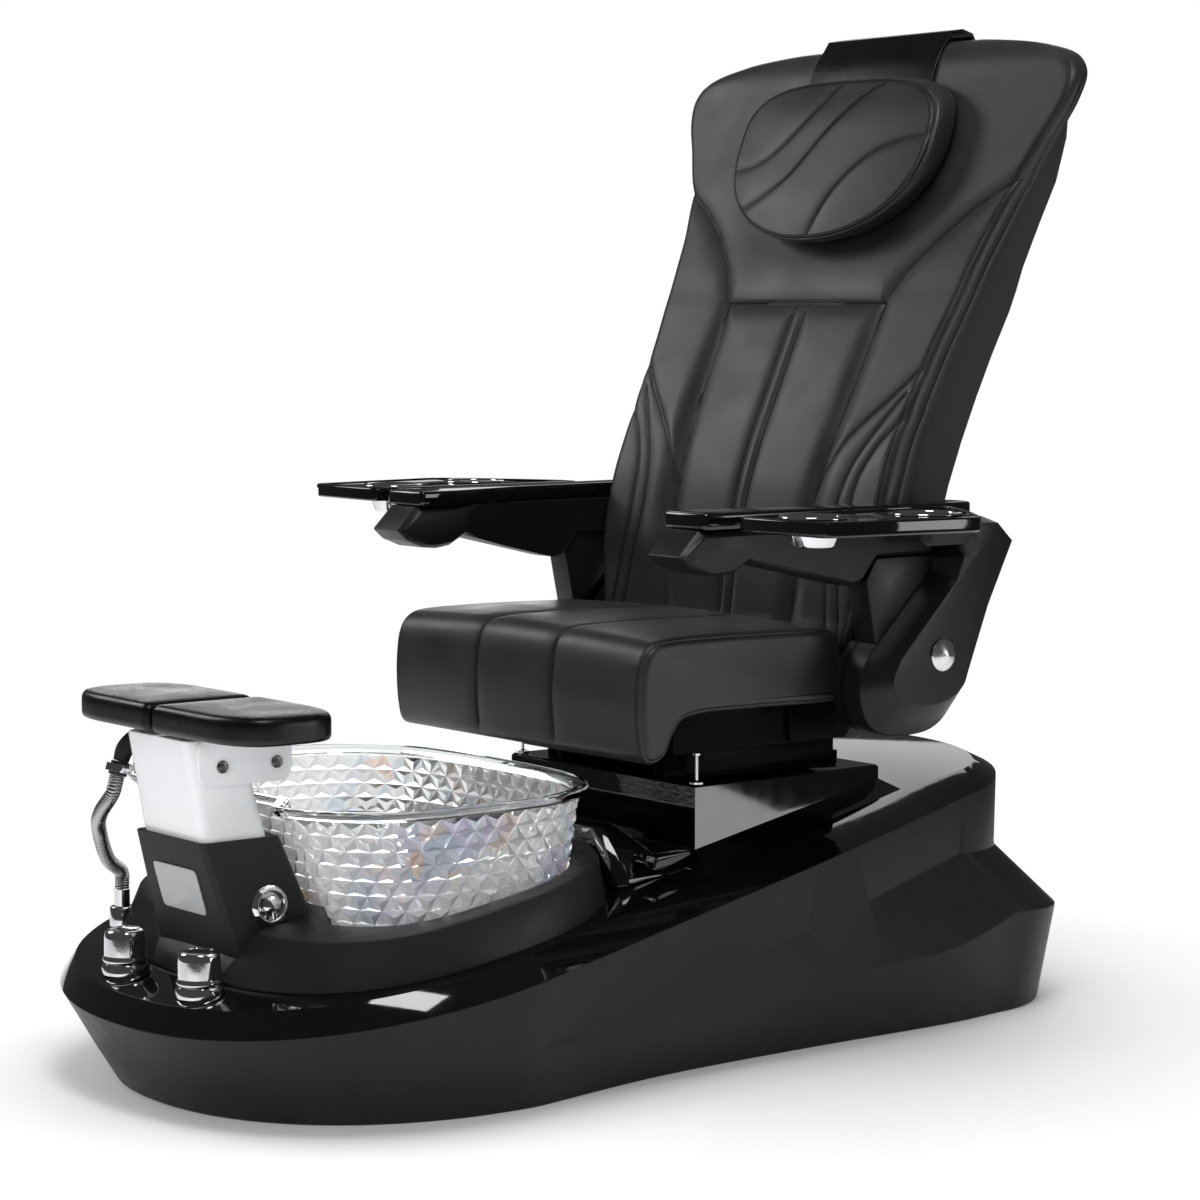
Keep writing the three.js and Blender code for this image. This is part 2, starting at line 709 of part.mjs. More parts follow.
/** One footrest pad: a straight inner edge and a blunt rounded outer end, with soft edges. */
function makePad() {
  const { padReach, padGap, padDepth, noseToPads, padTop, padThickness } = footrest;
  const middle = station(noseToPads) + padDepth / 2;
  const shoulder = 95;
  const end = superQuarter(padReach - shoulder, padDepth / 2, 3.2, 9)
    .map(([x, y]) => [shoulder + x, y]);
  const corners = [
    [padGap / 2, -padDepth / 2], ...end.map(([x, y]) => [x, -y]),
    ...end.slice(0, -1).reverse(), [padGap / 2, padDepth / 2],
  ];
  const layer = (inset, z) => corners.map(([x, y]) => vec(
    x === padGap / 2 ? x + inset * 0.6 : x - (inset * (x - padGap / 2)) / (padReach - padGap / 2),
    middle + y * (1 - (2 * inset) / padDepth), z));
  const bottom = padTop - padThickness;
  return loft([
    layer(5, bottom), layer(0, bottom + 5), layer(0, padTop - 9), layer(3, padTop - 2),
    layer(24, padTop + 1),
  ]);
}

/** The inward and upward direction of the cover's +X side face, and a point on it. */
const sideNormal = vec(1, 0, (column.footHalfWidth - column.topHalfWidth)
  / (column.topHeight - deckHeight(columnFront(0)))).normalize();
const control = { height: 252, noseTo: 176, radius: 27, spindle: 7 };
const controlPlace = vec(columnHalf(control.height), station(control.noseTo), control.height);

/** Chrome bezel ring with a stub that fills the hole in the cover's side. */
function makeControlBezel() {
  const ring = revolve([
    [0, -12], [16.5, -12], [16.5, 0.4], [control.radius, 0.4], [control.radius, 4], [22, 8], [18, 7],
    [17, 3], [0, 3],
  ], 14);
  const hole = aim(bore(control.spindle, -10, 20, 12), sideNormal, controlPlace);
  return cut(aim(ring, sideNormal, controlPlace), hole);
}

/** Chrome selector inside the bezel: a domed knob with one short lever. */
function makeControlKnob() {
  const domed = revolve([
    [0, -8], [control.spindle, -8], [control.spindle, 4], [13, 4], [13, 9], [9, 13], [0, 14],
  ], 12);
  const lever = plate(roundedShape([[0, -3.5], [18, -2.5], [18, 2.5], [0, 3.5]], 2), 9, 13.5, 1);
  return aim(join(domed, lever), sideNormal, controlPlace);
}

const frontNormal = vec(0, -1, -column.frontLean).normalize();

/** Grey touch panel laid on the cover's leaning front. */
function makeTouchPanel() {
  const top = 300;
  const bottom = 240;
  const half = 52;
  const corners = [[-half, bottom], [half, bottom], [half, top], [-half, top]];
  const outline = closedShape(corners, 7).getPoints(3).slice(0, -1);
  const ringAt = (distance, shrink) => outline.map((p) => {
    const z = (bottom + top) / 2 + (p.y - (bottom + top) / 2) * (1 - shrink / 30);
    return vec(p.x * (1 - shrink / half), columnFront(z) - distance, z);
  });
  return loft([ringAt(clearance.rest, 0), ringAt(2, 0), ringAt(2.8, 1)]);
}

// ---------------------------------------------------------------- deck knobs

const knobPlace = (side) => {
  const y = station(knob.noseTo);
  return vec(side * knob.offset, y, deckHeight(y) - 3.5);
};

/** Flared escutcheon ring under one knob, trimmed to the sloping deck, with the knob's spindle. */
function makeKnobSeat(side) {
  const ring = revolve([
    [0, -12], [31, -12], [31, 9], [28, 14], [0, 14],
  ], 18);
  const whole = join(ring, disc(7, 0, 40, 12));
  const place = knobPlace(side);
  return cut(whole.translate(place.x, place.y, place.z), underDeck());
}

/** Tapered chrome knob over its spindle, with a rounded top edge. */
function makeKnob(side) {
  const { radius, height } = knob;
  const place = knobPlace(side);
  const body = revolve([
    [0, 15], [radius + 2, 15], [radius + 2.5, 19], [radius + 0.5, 22], [radius - 0.5, height - 6],
    [radius - 3, height - 1], [radius - 7, height], [0, height],
  ], 18);
  const socket = bore(7, 0, 42, 12);
  return cut(body, socket).translate(place.x, place.y, place.z);
}

// ---------------------------------------------------------------- hand shower and its hose

const outlet = { x: -270, noseTo: 170, radius: 17, height: 30, stub: 10.5 };
const outletY = station(outlet.noseTo);
const showerNut = vec(-112, station(76), 404);
const nutAxis = vec(0, 0.3, 1).normalize();

/** Hose outlet on the deck: a collar with a narrower swivel stub. */
function makeHoseOutlet() {
  const low = deckHeight(outletY);
  const body = revolve([
    [0, low - 20], [outlet.radius, low - 20], [outlet.radius, low + outlet.height - 2],
    [outlet.radius - 2, low + outlet.height], [outlet.stub, low + outlet.height],
    [outlet.stub, low + outlet.height + 24], [0, low + outlet.height + 24],
  ], 16);
  return cut(body.translate(outlet.x, outletY, 0), underDeck());
}

const hoseRoute = (() => {
  const start = vec(outlet.x, outletY, deckHeight(outletY) + outlet.height + 24 + clearance.rest);
  const end = showerNut.clone().addScaledVector(nutAxis, -clearance.rest);
  return [
    start,
    start.clone().add(vec(0, 0, 2 * hose.radius)),
    vec(-252, station(140), 268),
    vec(-212, station(104), 318),
    vec(-158, station(77), 350),
    end.clone().addScaledVector(nutAxis, -2 * hose.radius),
    end,
  ];
})();

/** Ribbed hose with its bore, swept along the route from the outlet to the shower's nut. */
function makeHose() {
  const { radius, bore: hollow, ribs, ringPoints, ribDepth } = hose;
  const route = new THREE.CatmullRomCurve3(hoseRoute, false, "centripetal");
  const steps = 2 * ribs;
  const frames = route.computeFrenetFrames(steps, false);
  const ringAt = (step, size) => Array.from({ length: ringPoints }, (_, i) => {
    const angle = (2 * Math.PI * i) / ringPoints;
    return route.getPointAt(step / steps)
      .addScaledVector(frames.normals[step], size * Math.cos(angle))
      .addScaledVector(frames.binormals[step], size * Math.sin(angle));
  });
  const outer = [];
  for (let step = 0; step <= steps; step++) outer.push(ringAt(step, step % 2 ? radius - ribDepth : radius));
  const inner = [];
  for (let step = steps; step >= 0; step -= 10) inner.push(ringAt(step, hollow));
  const rings = [...outer, ...inner];
  const points = rings.flat();
  const faces = [];
  rings.forEach((_, ring) => {
    const following = (ring + 1) % rings.length;
    for (let i = 0; i < ringPoints; i++) {
      const next = (i + 1) % ringPoints;
      const a = ring * ringPoints + i;
      const b = ring * ringPoints + next;
      const c = following * ringPoints + i;
      const d = following * ringPoints + next;
      faces.push(a, b, c, b, d, c);
    }
  });
  const tube = new THREE.BufferGeometry().setFromPoints(points);
  tube.setIndex(faces);
  return tube;
}

/** Hand shower: a chrome nut, a tapered grip and a head turned back towards the bowl. */
function makeHandShower() {
  const route = [
    [showerNut.clone(), 12], [showerNut.clone().addScaledVector(nutAxis, 18), 12],
    [showerNut.clone().addScaledVector(nutAxis, 18.5), 10],
    [showerNut.clone().add(vec(0, 12, 33)), 12], [showerNut.clone().add(vec(0, 27, 44)), 13.5],
    [showerNut.clone().add(vec(0, 45, 46)), 14], [showerNut.clone().add(vec(0, 65, 44)), 16],
    [showerNut.clone().add(vec(0, 77, 41)), 18], [showerNut.clone().add(vec(0, 82, 40)), 16],
  ];
  const sides = 12;
  const rings = route.map(([middle, radius], k) => {
    const ahead = route[Math.min(k + 1, route.length - 1)][0];
    const behind = route[Math.max(k - 1, 0)][0];
    const along = k < 3 ? nutAxis : ahead.clone().sub(behind).normalize();
    const across = vec(1, 0, 0).addScaledVector(along, -along.x).normalize();
    const other = along.clone().cross(across);
    return Array.from({ length: sides }, (_, i) => {
      const angle = (2 * Math.PI * i) / sides;
      return middle.clone().addScaledVector(across, radius * Math.cos(angle))
        .addScaledVector(other, radius * Math.sin(angle));
    });
  });
  return loft(rings);
}

/** Open clip that holds the nut, on a foot that lies against the bracket's far cheek. */
function makeShowerHolder() {
  const middle = showerNut.clone().addScaledVector(nutAxis, 9);
  const outer = aim(disc(17, -5, 5, 14), nutAxis, middle);
  const gap = aim(disc(12.6, -14, 16, 14), nutAxis, middle);
  const mouth = aim(box(-40, 0, -12.6, 12.6, -9, 9), nutAxis, middle);
  const wall = -(cheekInner + bracket.cheek + clearance.rest);
  const reach = box(wall - 14, wall, middle.y - 2, middle.y + 16, middle.z - 1, middle.z + 7);
  const foot = box(wall - 3.5, wall, middle.y + 6, middle.y + 26, middle.z - 1, middle.z + 22);
  return cut(join(outer, reach, foot), gap, mouth);
}

// ---------------------------------------------------------------- plinth, rails and carriage

const plinthFront = station(plinth.noseTo);
const plinthRear = plinthFront + plinth.depth;

/** Glossy plinth: a straight box on a skirt that spreads over the deck to its edges. */
function makePlinth() {
  const sideFoot = (y) => plinth.sideBottom + plinth.sideSlope * (y - plinthFront);
  const rectangle = (half0, half1, y0, y1, heightOf) =>
    [[-half0, y0], [half0, y0], [half1, y1], [-half1, y1]].map(([x, y]) => vec(x, y, heightOf(y)));
  const deckHalf = (y) => {
    const right = deckLine.slice(0, deckLine.length / 2 + 1);
    const k = right.findIndex((p) => p.y > y);
    return lerp(right[k - 1].x, right[k].x, (y - right[k - 1].y) / (right[k].y - right[k - 1].y));
  };
  const skirtFront = plinthFront - plinth.skirtFront;
  const skirtRear = plinthRear + 10;
  const spread = (y) => deckHalf(y) - 8;
  const skirt = loft([
    rectangle(spread(skirtFront), spread(skirtRear), skirtFront, skirtRear, (y) => deckHeight(y) + clearance.rest),
    rectangle(plinth.halfWidth, plinth.halfWidth, plinthFront, plinthRear, sideFoot),
  ]);
  const { halfWidth, topHeight } = plinth;
  const upper = loft([
    rectangle(halfWidth, halfWidth, plinthFront, plinthRear, (y) => sideFoot(y) - 1),
    rectangle(halfWidth, halfWidth, plinthFront, plinthRear, () => topHeight - 3),
    rectangle(halfWidth - 3, halfWidth - 3, plinthFront + 3, plinthRear - 3, () => topHeight),
  ]);
  return cut(join(skirt, upper), drainHousingSolid(2 * clearance.rest), leverSweep(), widePassage(), underDeck());
}

/** Room for the drain lever's paddle to turn, cut from the skirt. */
function leverSweep() {
  return aim(disc(66, 26, 62), vec(1, 0, 0), leverPlace);
}

/** One fixed rail on the plinth: a low channel with a lip along its outer side. */
function makeRail() {
  const x0 = slide.railGauge / 2 - slide.railWidth / 2;
  const x1 = x0 + slide.railWidth;
  const z0 = plinth.topHeight + clearance.rest;
  const z1 = z0 + slide.railHeight;
  const rail = box(x0, x1, plinthFront + 12, plinthRear - 14, z0, z1);
  const groove = box(x0 + 11, x1 - 11, plinthFront, plinthRear, z0 + 4, z1 + 5);
  return cut(rail, groove);
}

const carriageFoot = plinth.topHeight + clearance.rest + slide.railHeight + 0.5;
const carriageTop = 404;
const frameFoot = 410;

/** Carriage: a shallow steel tray that rides the rails, with a tongue in each groove. */
function makeCarriage() {
  const half = 184;
  const y0 = plinthFront + 4;
  const y1 = plinthFront + 271;
  const deck = box(-half, half, y0, y1, carriageFoot, carriageTop);
  const hollow = box(-half + 12, half - 12, y0 + 14, y1 - 14, carriageFoot + 8, carriageTop + 10);
  const x = slide.railGauge / 2;
  const tongue = (side) => box(side * x - 4.5, side * x + 4.5, y0 + 20, y1 - 8, carriageFoot - 8, carriageFoot + 2);
  return join(cut(deck, hollow), tongue(1), tongue(-1));
}

/** Stop pin at a front corner of the plinth: a flange, a slim rod and a flat head. */
function makeStopPin(side) {
  const pin = revolve([
    [0, 0], [10, 0], [10, 4], [7, 8], [2.6, 9], [2.6, 38], [6, 38.5], [6, 42], [0, 42],
  ], 8);
  return pin.translate(side * 197, plinthFront + 12, plinth.topHeight + clearance.rest);
}

// ---------------------------------------------------------------- seat

const seatFront = station(seat.noseTo);
const seatRear = seatFront + seat.depth;
const pivotY = station(pivot.noseTo);

/** Seat pan: a steel tray with deep side plates, and two cheeks up to the pivot tube. */
function makeSeatFrame() {
  const half = 218;
  const y0 = seatFront + 104;
  const y1 = seatFront + 412;
  const top = seat.underside - clearance.rest;
  const pan = box(-half, half, y0, y1, frameFoot, top);
  const hollow = box(-half + 8, half - 8, y0 + 12, y1 - 12, frameFoot + 10, top + 10);
  const floor = box(-150, 150, y0 + 20, y1 - 60, carriageTop + clearance.rest, frameFoot + 1);
  const outline = [
    [y1 - 110, frameFoot + 2], [y1 - 4, frameFoot + 2], [pivotY + 34, pivot.height - 20],
    [pivotY + 30, pivot.height + 24], [pivotY - 26, pivot.height + 26], [y1 - 52, top], [y1 - 110, top],
  ];
  const cheek = () => sidePlate(roundedShape(outline, 10), half - 4, half + 8);
  const hole = aim(disc(pivot.radius + clearance.rest, -400, 400, pivot.sides), vec(1, 0, 0), vec(0, pivotY, pivot.height));
  return cut(join(cut(pan, hollow), floor, cheek(), mirrored(cheek())), hole, cushionRoom());
}

/** Room behind the cushion's rear edge, where the cheeks pass. */
function cushionRoom() {
  const rear = seatRear + clearance.rest;
  return box(-400, 400, seatFront, rear, seat.underside - clearance.rest, seat.top + 40);
}

/** Pivot tube: the shaft on which the back reclines and both armrests lift. */
function makePivotTube() {
  const end = arm.outer - 18;
  const tube = revolve([
    [0, -end], [pivot.radius, -end], [pivot.radius, end], [0, end],
  ], pivot.sides);
  return aim(tube, vec(1, 0, 0), vec(0, pivotY, pivot.height));
}

/** Seat cushion: a waterfall front lip, a crowned top, drawn-in sides and two sewn channels. */
function makeSeatCushion() {
  const { halfWidth, top, underside, lipBottom, lipDepth, seamOffset } = seat;
  const profile = [
    [seatRear, underside + 6], [seatRear - 8, underside], [seatFront + lipDepth + 20, underside],
    [seatFront + lipDepth, underside - 6], [seatFront + lipDepth - 10, underside - 30],
    [seatFront + 34, lipBottom + 4], [seatFront + 14, lipBottom], [seatFront + 3, lipBottom + 12],
    [seatFront - 3, lipBottom + 45], [seatFront - 4, lipBottom + 90], [seatFront, top - 36],
    [seatFront + 8, top - 16], [seatFront + 24, top - 4], [seatFront + 70, top + 1],
    [seatFront + 150, top + 1], [seatFront + 250, top], [seatRear - 24, top - 4], [seatRear - 6, top - 16],
    [seatRear, top - 40],
  ];
  const middleY = (seatFront + seatRear) / 2;
  const middleZ = (underside + top) / 2;
  const stations = [
    [halfWidth - 5, 9], [halfWidth - 1, 4], [halfWidth, 0], [halfWidth - 6, 0], [halfWidth - 40, 0],
    [seamOffset + 50, 0], [seamOffset + 7, 0], [seamOffset, 3.5], [seamOffset - 7, 0], [30, 0],
  ];
  const whole = [...stations, ...stations.map(([x, inset]) => [-x, inset]).reverse()];
  const rings = whole.map(([x, inset]) => {
    const crown = 7 * (1 - (x / halfWidth) ** 2);
    return profile.map(([y, z]) => {
      const upper = z > middleZ ? crown * smooth(z, middleZ, top - 4) : 0;
      const outward = vec(0, y - middleY, z - middleZ).normalize();
      return vec(x, y - outward.y * inset, z + upper - outward.z * inset);
    });
  });
  return loft(rings.reverse().map((ring) => [...ring].reverse()));
}

// ---------------------------------------------------------------- backrest

/** The back's outlines: [height, half width, front station, rear station, cushion's depth]. */
const backLevels = [
  [524, 258, 990, 1120, 18], [568, 270, 998, 1145, 30], [577, 272, 1000, 1150, 54],
  [640, 286, 1008, 1178, 54], [700, 296, 1022, 1196, 54],
  [760, 297, 1038, 1216, 54], [820, 296, 1060, 1243, 54], [880, 299, 1087, 1266, 54],
  [940, 304, 1114, 1290, 54], [1000, 313, 1142, 1312, 54], [1030, 317, 1157, 1318, 54],
  [1060, 321, 1171, 1322, 54], [1120, 333, 1201, 1334, 54], [1180, 352, 1226, 1344, 48],
  [1240, 379, 1250, 1352, 38], [1290, 403, 1268, 1356, 34], [1325, 406, 1280, 1358, 34],
  [1350, 385, 1288, 1360, 34], [1372, 310, 1300, 1362, 34], [1386, 190, 1314, 1362, 34],
];

/** A value of the back at a height, by its column in the outlines. */
function backAt(z, columnIndex) {
  const k = Math.max(1, backLevels.findIndex((level) => level[0] >= z));
  const [low, high] = [backLevels[k - 1], backLevels[k]];
  return lerp(low[columnIndex], high[columnIndex], (z - low[0]) / (high[0] - low[0]));
}

const backHalf = (z) => backAt(z, 1);
const backFront = (z) => station(backAt(z, 2));
const backRear = (z) => station(backAt(z, 3));
const backDepth = (z) => backAt(z, 4);

/** How far the cushion's front is sunk below its plain face, from channels, seams and wings. */
function backRelief(x, z) {
  const across = Math.abs(x);
  const valley = (distance, width) => Math.max(0, 1 - Math.abs(distance) / width);
  const seam = lerp(back.channelHalfWidth - 12, back.channelHalfWidth + 18, (z - back.bottom) / 430);
  const inPanel = z < back.yokeHeight;
  const panelSeam = inPanel ? 11 * valley(across - seam, 16) : 0;
  const centreSeam = inPanel ? 4 * valley(across, 9) : 0;
  const shoulder = back.yokeHeight + (across - seam) * 0.95;
  const yokeSeam = across > seam ? 6 * valley(z - shoulder, 18) : 8 * valley(z - back.yokeHeight, 12);
  const edge = 15 * smooth(across / backHalf(z), 0.86, 1) ** 2;
  const bolster = across > seam && inPanel ? -5 * smooth(across, seam, seam + 40) : 0;
  return Math.max(panelSeam, centreSeam, yokeSeam) + edge + bolster;
}

/** Back cushion: channels down the middle, a yoke over the shoulders and raised side bolsters. */
function makeBackCushion() {
  const shares = [1, 0.97, 0.9, 0.78, 0.64, 0.56, 0.52, 0.48, 0.42, 0.24, 0.05, 0];
  const between = [back.yokeHeight, 1090, 1150, 1210, 1265];
  const heights = [...backLevels.map((level) => level[0]), ...between].sort((a, b) => a - b);
  const lastHeight = heights.length - 1;
  const rings = heights.map((z, level) => {
    const ends = level === 0 || level === lastHeight ? 8 : 0;
    const half = backHalf(z) - ends;
    const front = (x) => backFront(z) + backRelief(x, z) + ends;
    const rear = backFront(z) + backDepth(z);
    const right = shares.slice(0, -1).map((share) => vec(half * share, front(half * share), z));
    const left = right.map((p) => vec(-p.x, p.y, z)).reverse();
    const sides = [vec(half, rear - 10, z), vec(half - 5, rear, z)];
    const other = sides.map((p) => vec(-p.x, p.y, z)).reverse();
    return [...left.reverse(), vec(0, front(0), z), ...right.reverse(), ...sides, ...other];
  });
  return loft(rings);
}

/** Back shell: a hollow moulded housing behind the cushion, with two lugs on the pivot tube. */
function makeBackShell() {
  const top = 1350;
  const bottom = 600;
  const heights = [bottom, ...backLevels.map((level) => level[0]).filter((z) => z > bottom && z <= top)];
  const frontGap = (z) => backDepth(z) + clearance.rest;
  const ringAt = (z, wall) => {
    const taper = smooth(z, 1180, top);
    const half = backHalf(z) - 10 - 50 * taper - wall;
    const front = backFront(z) + (wall ? -20 : frontGap(z));
    const rear = backRear(z) - wall - 22 * taper;
    const shoulderY = lerp(backFront(z) + frontGap(z), rear, 0.62);
    const waist = half * 0.8;
    return [
      vec(-half, front, z), vec(half, front, z), vec(half, shoulderY, z), vec(waist, rear - 6, z),
      vec(waist * 0.5, rear, z), vec(-waist * 0.5, rear, z), vec(-waist, rear - 6, z), vec(-half, shoulderY, z),
    ];
  };
  const outside = loft(heights.map((z) => ringAt(z, 0)));
  const inner = heights.slice(1, -2).filter((_, i) => i % 3 === 0);
  const inside = loft(inner.map((z) => ringAt(z, back.shellWall)));
  const lug = () => sidePlate(roundedShape([
    [pivotY - 30, pivot.height - 26], [pivotY + 26, pivot.height - 30], [pivotY + 44, pivot.height + 20],
    [pivotY + 50, 640], [pivotY - 4, 640], [pivotY - 34, pivot.height + 18],
  ], 14), 168, 190);
  const hole = aim(bore(pivot.radius, -400, 400, pivot.sides), vec(1, 0, 0), vec(0, pivotY, pivot.height));
  const cushionSpace = loft([back.bottom - 15, back.bottom, 640, 700].map((z) => {
    const level = Math.max(back.bottom, z);
    const half = backHalf(level) + 30;
    const front = backFront(level) - 60;
    const rear = backFront(level) + frontGap(level);
    return [vec(-half, front, z), vec(half, front, z), vec(half, rear, z), vec(-half, rear, z)];
  }));
  const hollow = cut(outside, inside);
  return cut(join(hollow, cut(lug(), cushionSpace), cut(mirrored(lug()), cushionSpace)), hole);
}

/** Pillow: a plump pad, flat across the top and round below, laid on the yoke. */
function makePillow() {
  const { halfWidth, bottom, height, thickness } = pillow;
  const steps = 24;
  const middleZ = bottom + height * 0.58;
  const outline = Array.from({ length: steps }, (_, i) => {
    const angle = (2 * Math.PI * (i + 0.5)) / steps;
    const [c, s] = [Math.cos(angle), Math.sin(angle)];
    const power = s > 0 ? 3.4 : 2.15;
    return [
      halfWidth * Math.sign(c) * Math.abs(c) ** (2 / power),
      (s > 0 ? height * 0.42 : height * 0.58) * Math.sign(s) * Math.abs(s) ** (2 / power),
    ];
  });
  const layers = [[0.86, 0.3], [0.97, 5], [1, 17], [0.97, 34], [0.88, 49], [0.68, thickness - 5], [0.36, thickness]];
  const rings = layers.map(([scale, depth]) => outline.map(([x, z]) => {
    const level = middleZ + z * scale;
    return vec(x * scale, backFront(level) - clearance.rest - depth, level);
  }));
  return cut(loft(rings), strapSolid(clearance.rest));
}

/** The strap's solid: a leather band from under the pillow over the top and down the rear. */
function strapSolid(grow = 0) {
  const half = pillow.strapHalfWidth + grow;
  const line = [
    [1296 - 4 * grow, 0.6], [1325, 0.6], [1350, 0.6], [1372, 0.8], [1384, 2.4],
  ].map(([z, off]) => [backFront(z) - off, z]);
  const crest = [
    [backFront(1386) + 4, 1397], [backFront(1386) + 24, 1400.5], [backFront(1386) + 42, 1396],
    [backFront(1386) + 51, 1380], [backFront(1386) + 54, 1356],
  ];
  const middle = [...line, ...crest];
  const shape = (offset) => middle.map(([y, z], i) => {
    const ahead = middle[Math.min(i + 1, middle.length - 1)];
    const behind = middle[Math.max(i - 1, 0)];
    const along = new THREE.Vector2(ahead[0] - behind[0], ahead[1] - behind[1]).normalize();
    return [y + along.y * offset, z - along.x * offset];
  });
  const thickness = 4 + grow;
  const outer = shape(-thickness);
  const inner = shape(grow).reverse();
  return sidePlate(roundedShape([...outer, ...inner]), -half, half);
}

// ---------------------------------------------------------------- armrests

const slabFront = station(arm.noseToSlab);
const side = (points) => points.map(([distance, z]) => [station(distance), z]);

/** Glossy arm slab: a tapered top plate with a squared front end and bevelled edges. */
function makeArmSlab() {
  const rear = station(1136);
  const outline = [
    [274, slabFront], [361, slabFront - 1], [364, slabFront + 120], [372, rear - 12], [364, rear],
    [322, rear], [318, rear - 90], [308, slabFront + 190], [274, slabFront + 60],
  ];
  return plate(roundedShape(outline, 5), arm.slabTop - arm.slabThickness, arm.slabTop, 2.5, 1);
}

/** Matt lower cover: a hooked front lip, a notch and a sloping belly, all with wide facets. */
function makeArmCover() {
  const top = arm.slabTop - arm.slabThickness - clearance.rest;
  const profile = side([
    [666, top], [633, 687], [650, 672], [678, 661], [700, 659], [723, 662], [749, 676], [800, 664],
    [916, 637], [930, 634.5], [948, 639], [974, 671], [1076, 671], [1076, top],
  ]);
  const lower = side([
    [672, top - 8], [642, 688], [656, 676], [680, 666], [700, 665], [722, 668], [748, 682], [800, 671],
    [916, 644], [930, 641], [944, 645], [971, 677], [1070, 677], [1070, top - 8],
  ]);
  const ring = (points, x) => points.map(([y, z]) => vec(x, y, z));
  const { coverInner, coverOuter } = arm;
  const body = loftFacets([
    ring(lower, coverInner), ring(profile, coverInner + 10), ring(profile, coverOuter - 9), ring(lower, coverOuter),
  ]);
  const backRoom = plate(roundedShape([
    [coverInner - 20, station(750)], [coverInner, station(750)], [306, station(836)],
    [306, station(1100)], [coverInner - 20, station(1100)],
  ]), 600, arm.slabTop);
  return cut(body, housingSolid(clearance.rest), strutSolid(clearance.rest), backRoom);
}

/** A skin through side-view rings whose ends aren't convex, capped by triangulating them. */
function loftFacets(rings) {
  const count = rings[0].length;
  const points = rings.flat();
  const faces = [];
  const outline = rings[0].map((p) => new THREE.Vector2(p.y, p.z));
  const clockwise = THREE.ShapeUtils.isClockWise(outline);
  const put = (a, b, c) => (clockwise ? faces.push(a, c, b) : faces.push(a, b, c));
  for (let ring = 0; ring + 1 < rings.length; ring++) {
    for (let i = 0; i < count; i++) {
      const a = ring * count + i;
      const b = ring * count + ((i + 1) % count);
      put(a, b, a + count);
      put(b, b + count, a + count);
    }
  }
  const last = (rings.length - 1) * count;
  THREE.ShapeUtils.triangulateShape(clockwise ? [...outline].reverse() : outline, []).forEach((face) => {
    const [a, b, c] = clockwise ? face.map((i) => count - 1 - i) : face;
    faces.push(c, b, a);
    faces.push(last + a, last + b, last + c);
  });
  const made = new THREE.BufferGeometry().setFromPoints(points);
  made.setIndex(faces);
  return made;
}

/** A side view's outline moved outwards by a gap all round. */
function outset(points, gap) {
  const clockwise = THREE.ShapeUtils.isClockWise(points.map(([y, z]) => new THREE.Vector2(y, z)));
  const outward = clockwise ? gap : -gap;
  const normal = ([y0, z0], [y1, z1]) => new THREE.Vector2(z0 - z1, y1 - y0).normalize();
  return points.map((p, i) => {
    const before = normal(points.at(i - 1), p);
    const after = normal(p, points[(i + 1) % points.length]);
    const bisector = before.clone().add(after).normalize();
    const reach = outward / bisector.dot(after);
    return [p[0] + bisector.x * reach, p[1] + bisector.y * reach];
  });
}

const housingTop = arm.slabTop - arm.slabThickness - clearance.rest;

/** Side view of the housing: from its top down the leaning front, round the disc and up the rear. */
const housingOutline = side([
  [1104, housingTop], [1104, 697], [1074, 666], [1073, 650], [975, 556], [953, 530], [943, 500], [945, 475],
  [956, 450], [972, 437], [992, 430], [1034, 427], [1072, 432], [1098, 447], [1113, 470], [1120, 500],
  [1152, 601], [1197, 690], [1167, housingTop],
]);

/** The housing's flat face, inside a bevel that is wide in front and narrow along the rear. */
const housingFace = side([
  [1113, housingTop - 7], [1112, 693], [1097, 668], [1084, 637], [984, 538], [974, 522], [969, 505], [973, 490],
  [987, 478], [1006, 473], [1029, 471], [1052, 472], [1072, 477], [1088, 485], [1101, 497], [1107, 511],
  [1144, 601], [1189, 687], [1161, housingTop - 7],
]);

const atX = (points, x) => points.map(([y, z]) => vec(x, y, z));

/** The housing's faceted body, or with a gap the room that what is fixed to it leaves. */
function housingSolid(gap = 0) {
  const full = outset(housingOutline, gap);
  const plate = loftFacets([
    atX(full, arm.inner - gap), atX(full, arm.outer - 38 + gap), atX(outset(housingFace, gap), arm.outer + gap),
  ]);
  const discOutline = outset(housingOutline.slice(4, 16), gap);
  return join(plate, sidePlate(roundedShape(discOutline), arm.discInner - gap, arm.inner + 8));
}

/** The plate in front of the housing, between the disc and the cover. */
function strutSolid(gap = 0) {
  const outline = outset(side([[955, 640], [972, 557], [990, 545], [1080, 640], [1080, 670], [974, 670]]), gap);
  return sidePlate(roundedShape(outline), arm.inner - gap, arm.coverOuter - 4 + gap);
}

/** Matt faceted housing: a bevelled disc and plate round the pivot, with the strut in front. */
function makeArmHousing() {
  const shaft = aim(
    bore(pivot.radius, arm.discInner - 5, arm.outer - 17, pivot.sides), vec(1, 0, 0), vec(0, pivotY, pivot.height),
  );
  return cut(join(housingSolid(), strutSolid()), shaft);
}

/** Brushed conical cap over the end of the pivot. */
function makePivotCap() {
  const { capRadius } = arm;
  const cap = revolve([[0, 0], [capRadius, 0], [capRadius, 3], [capRadius - 3, 5], [3, 11], [0, 11.5]], 20);
  return aim(cap, vec(1, 0, 0), vec(arm.outer + clearance.rest, pivotY, pivot.height));
}

const trayPivot = { x: 408, noseTo: 1016 };

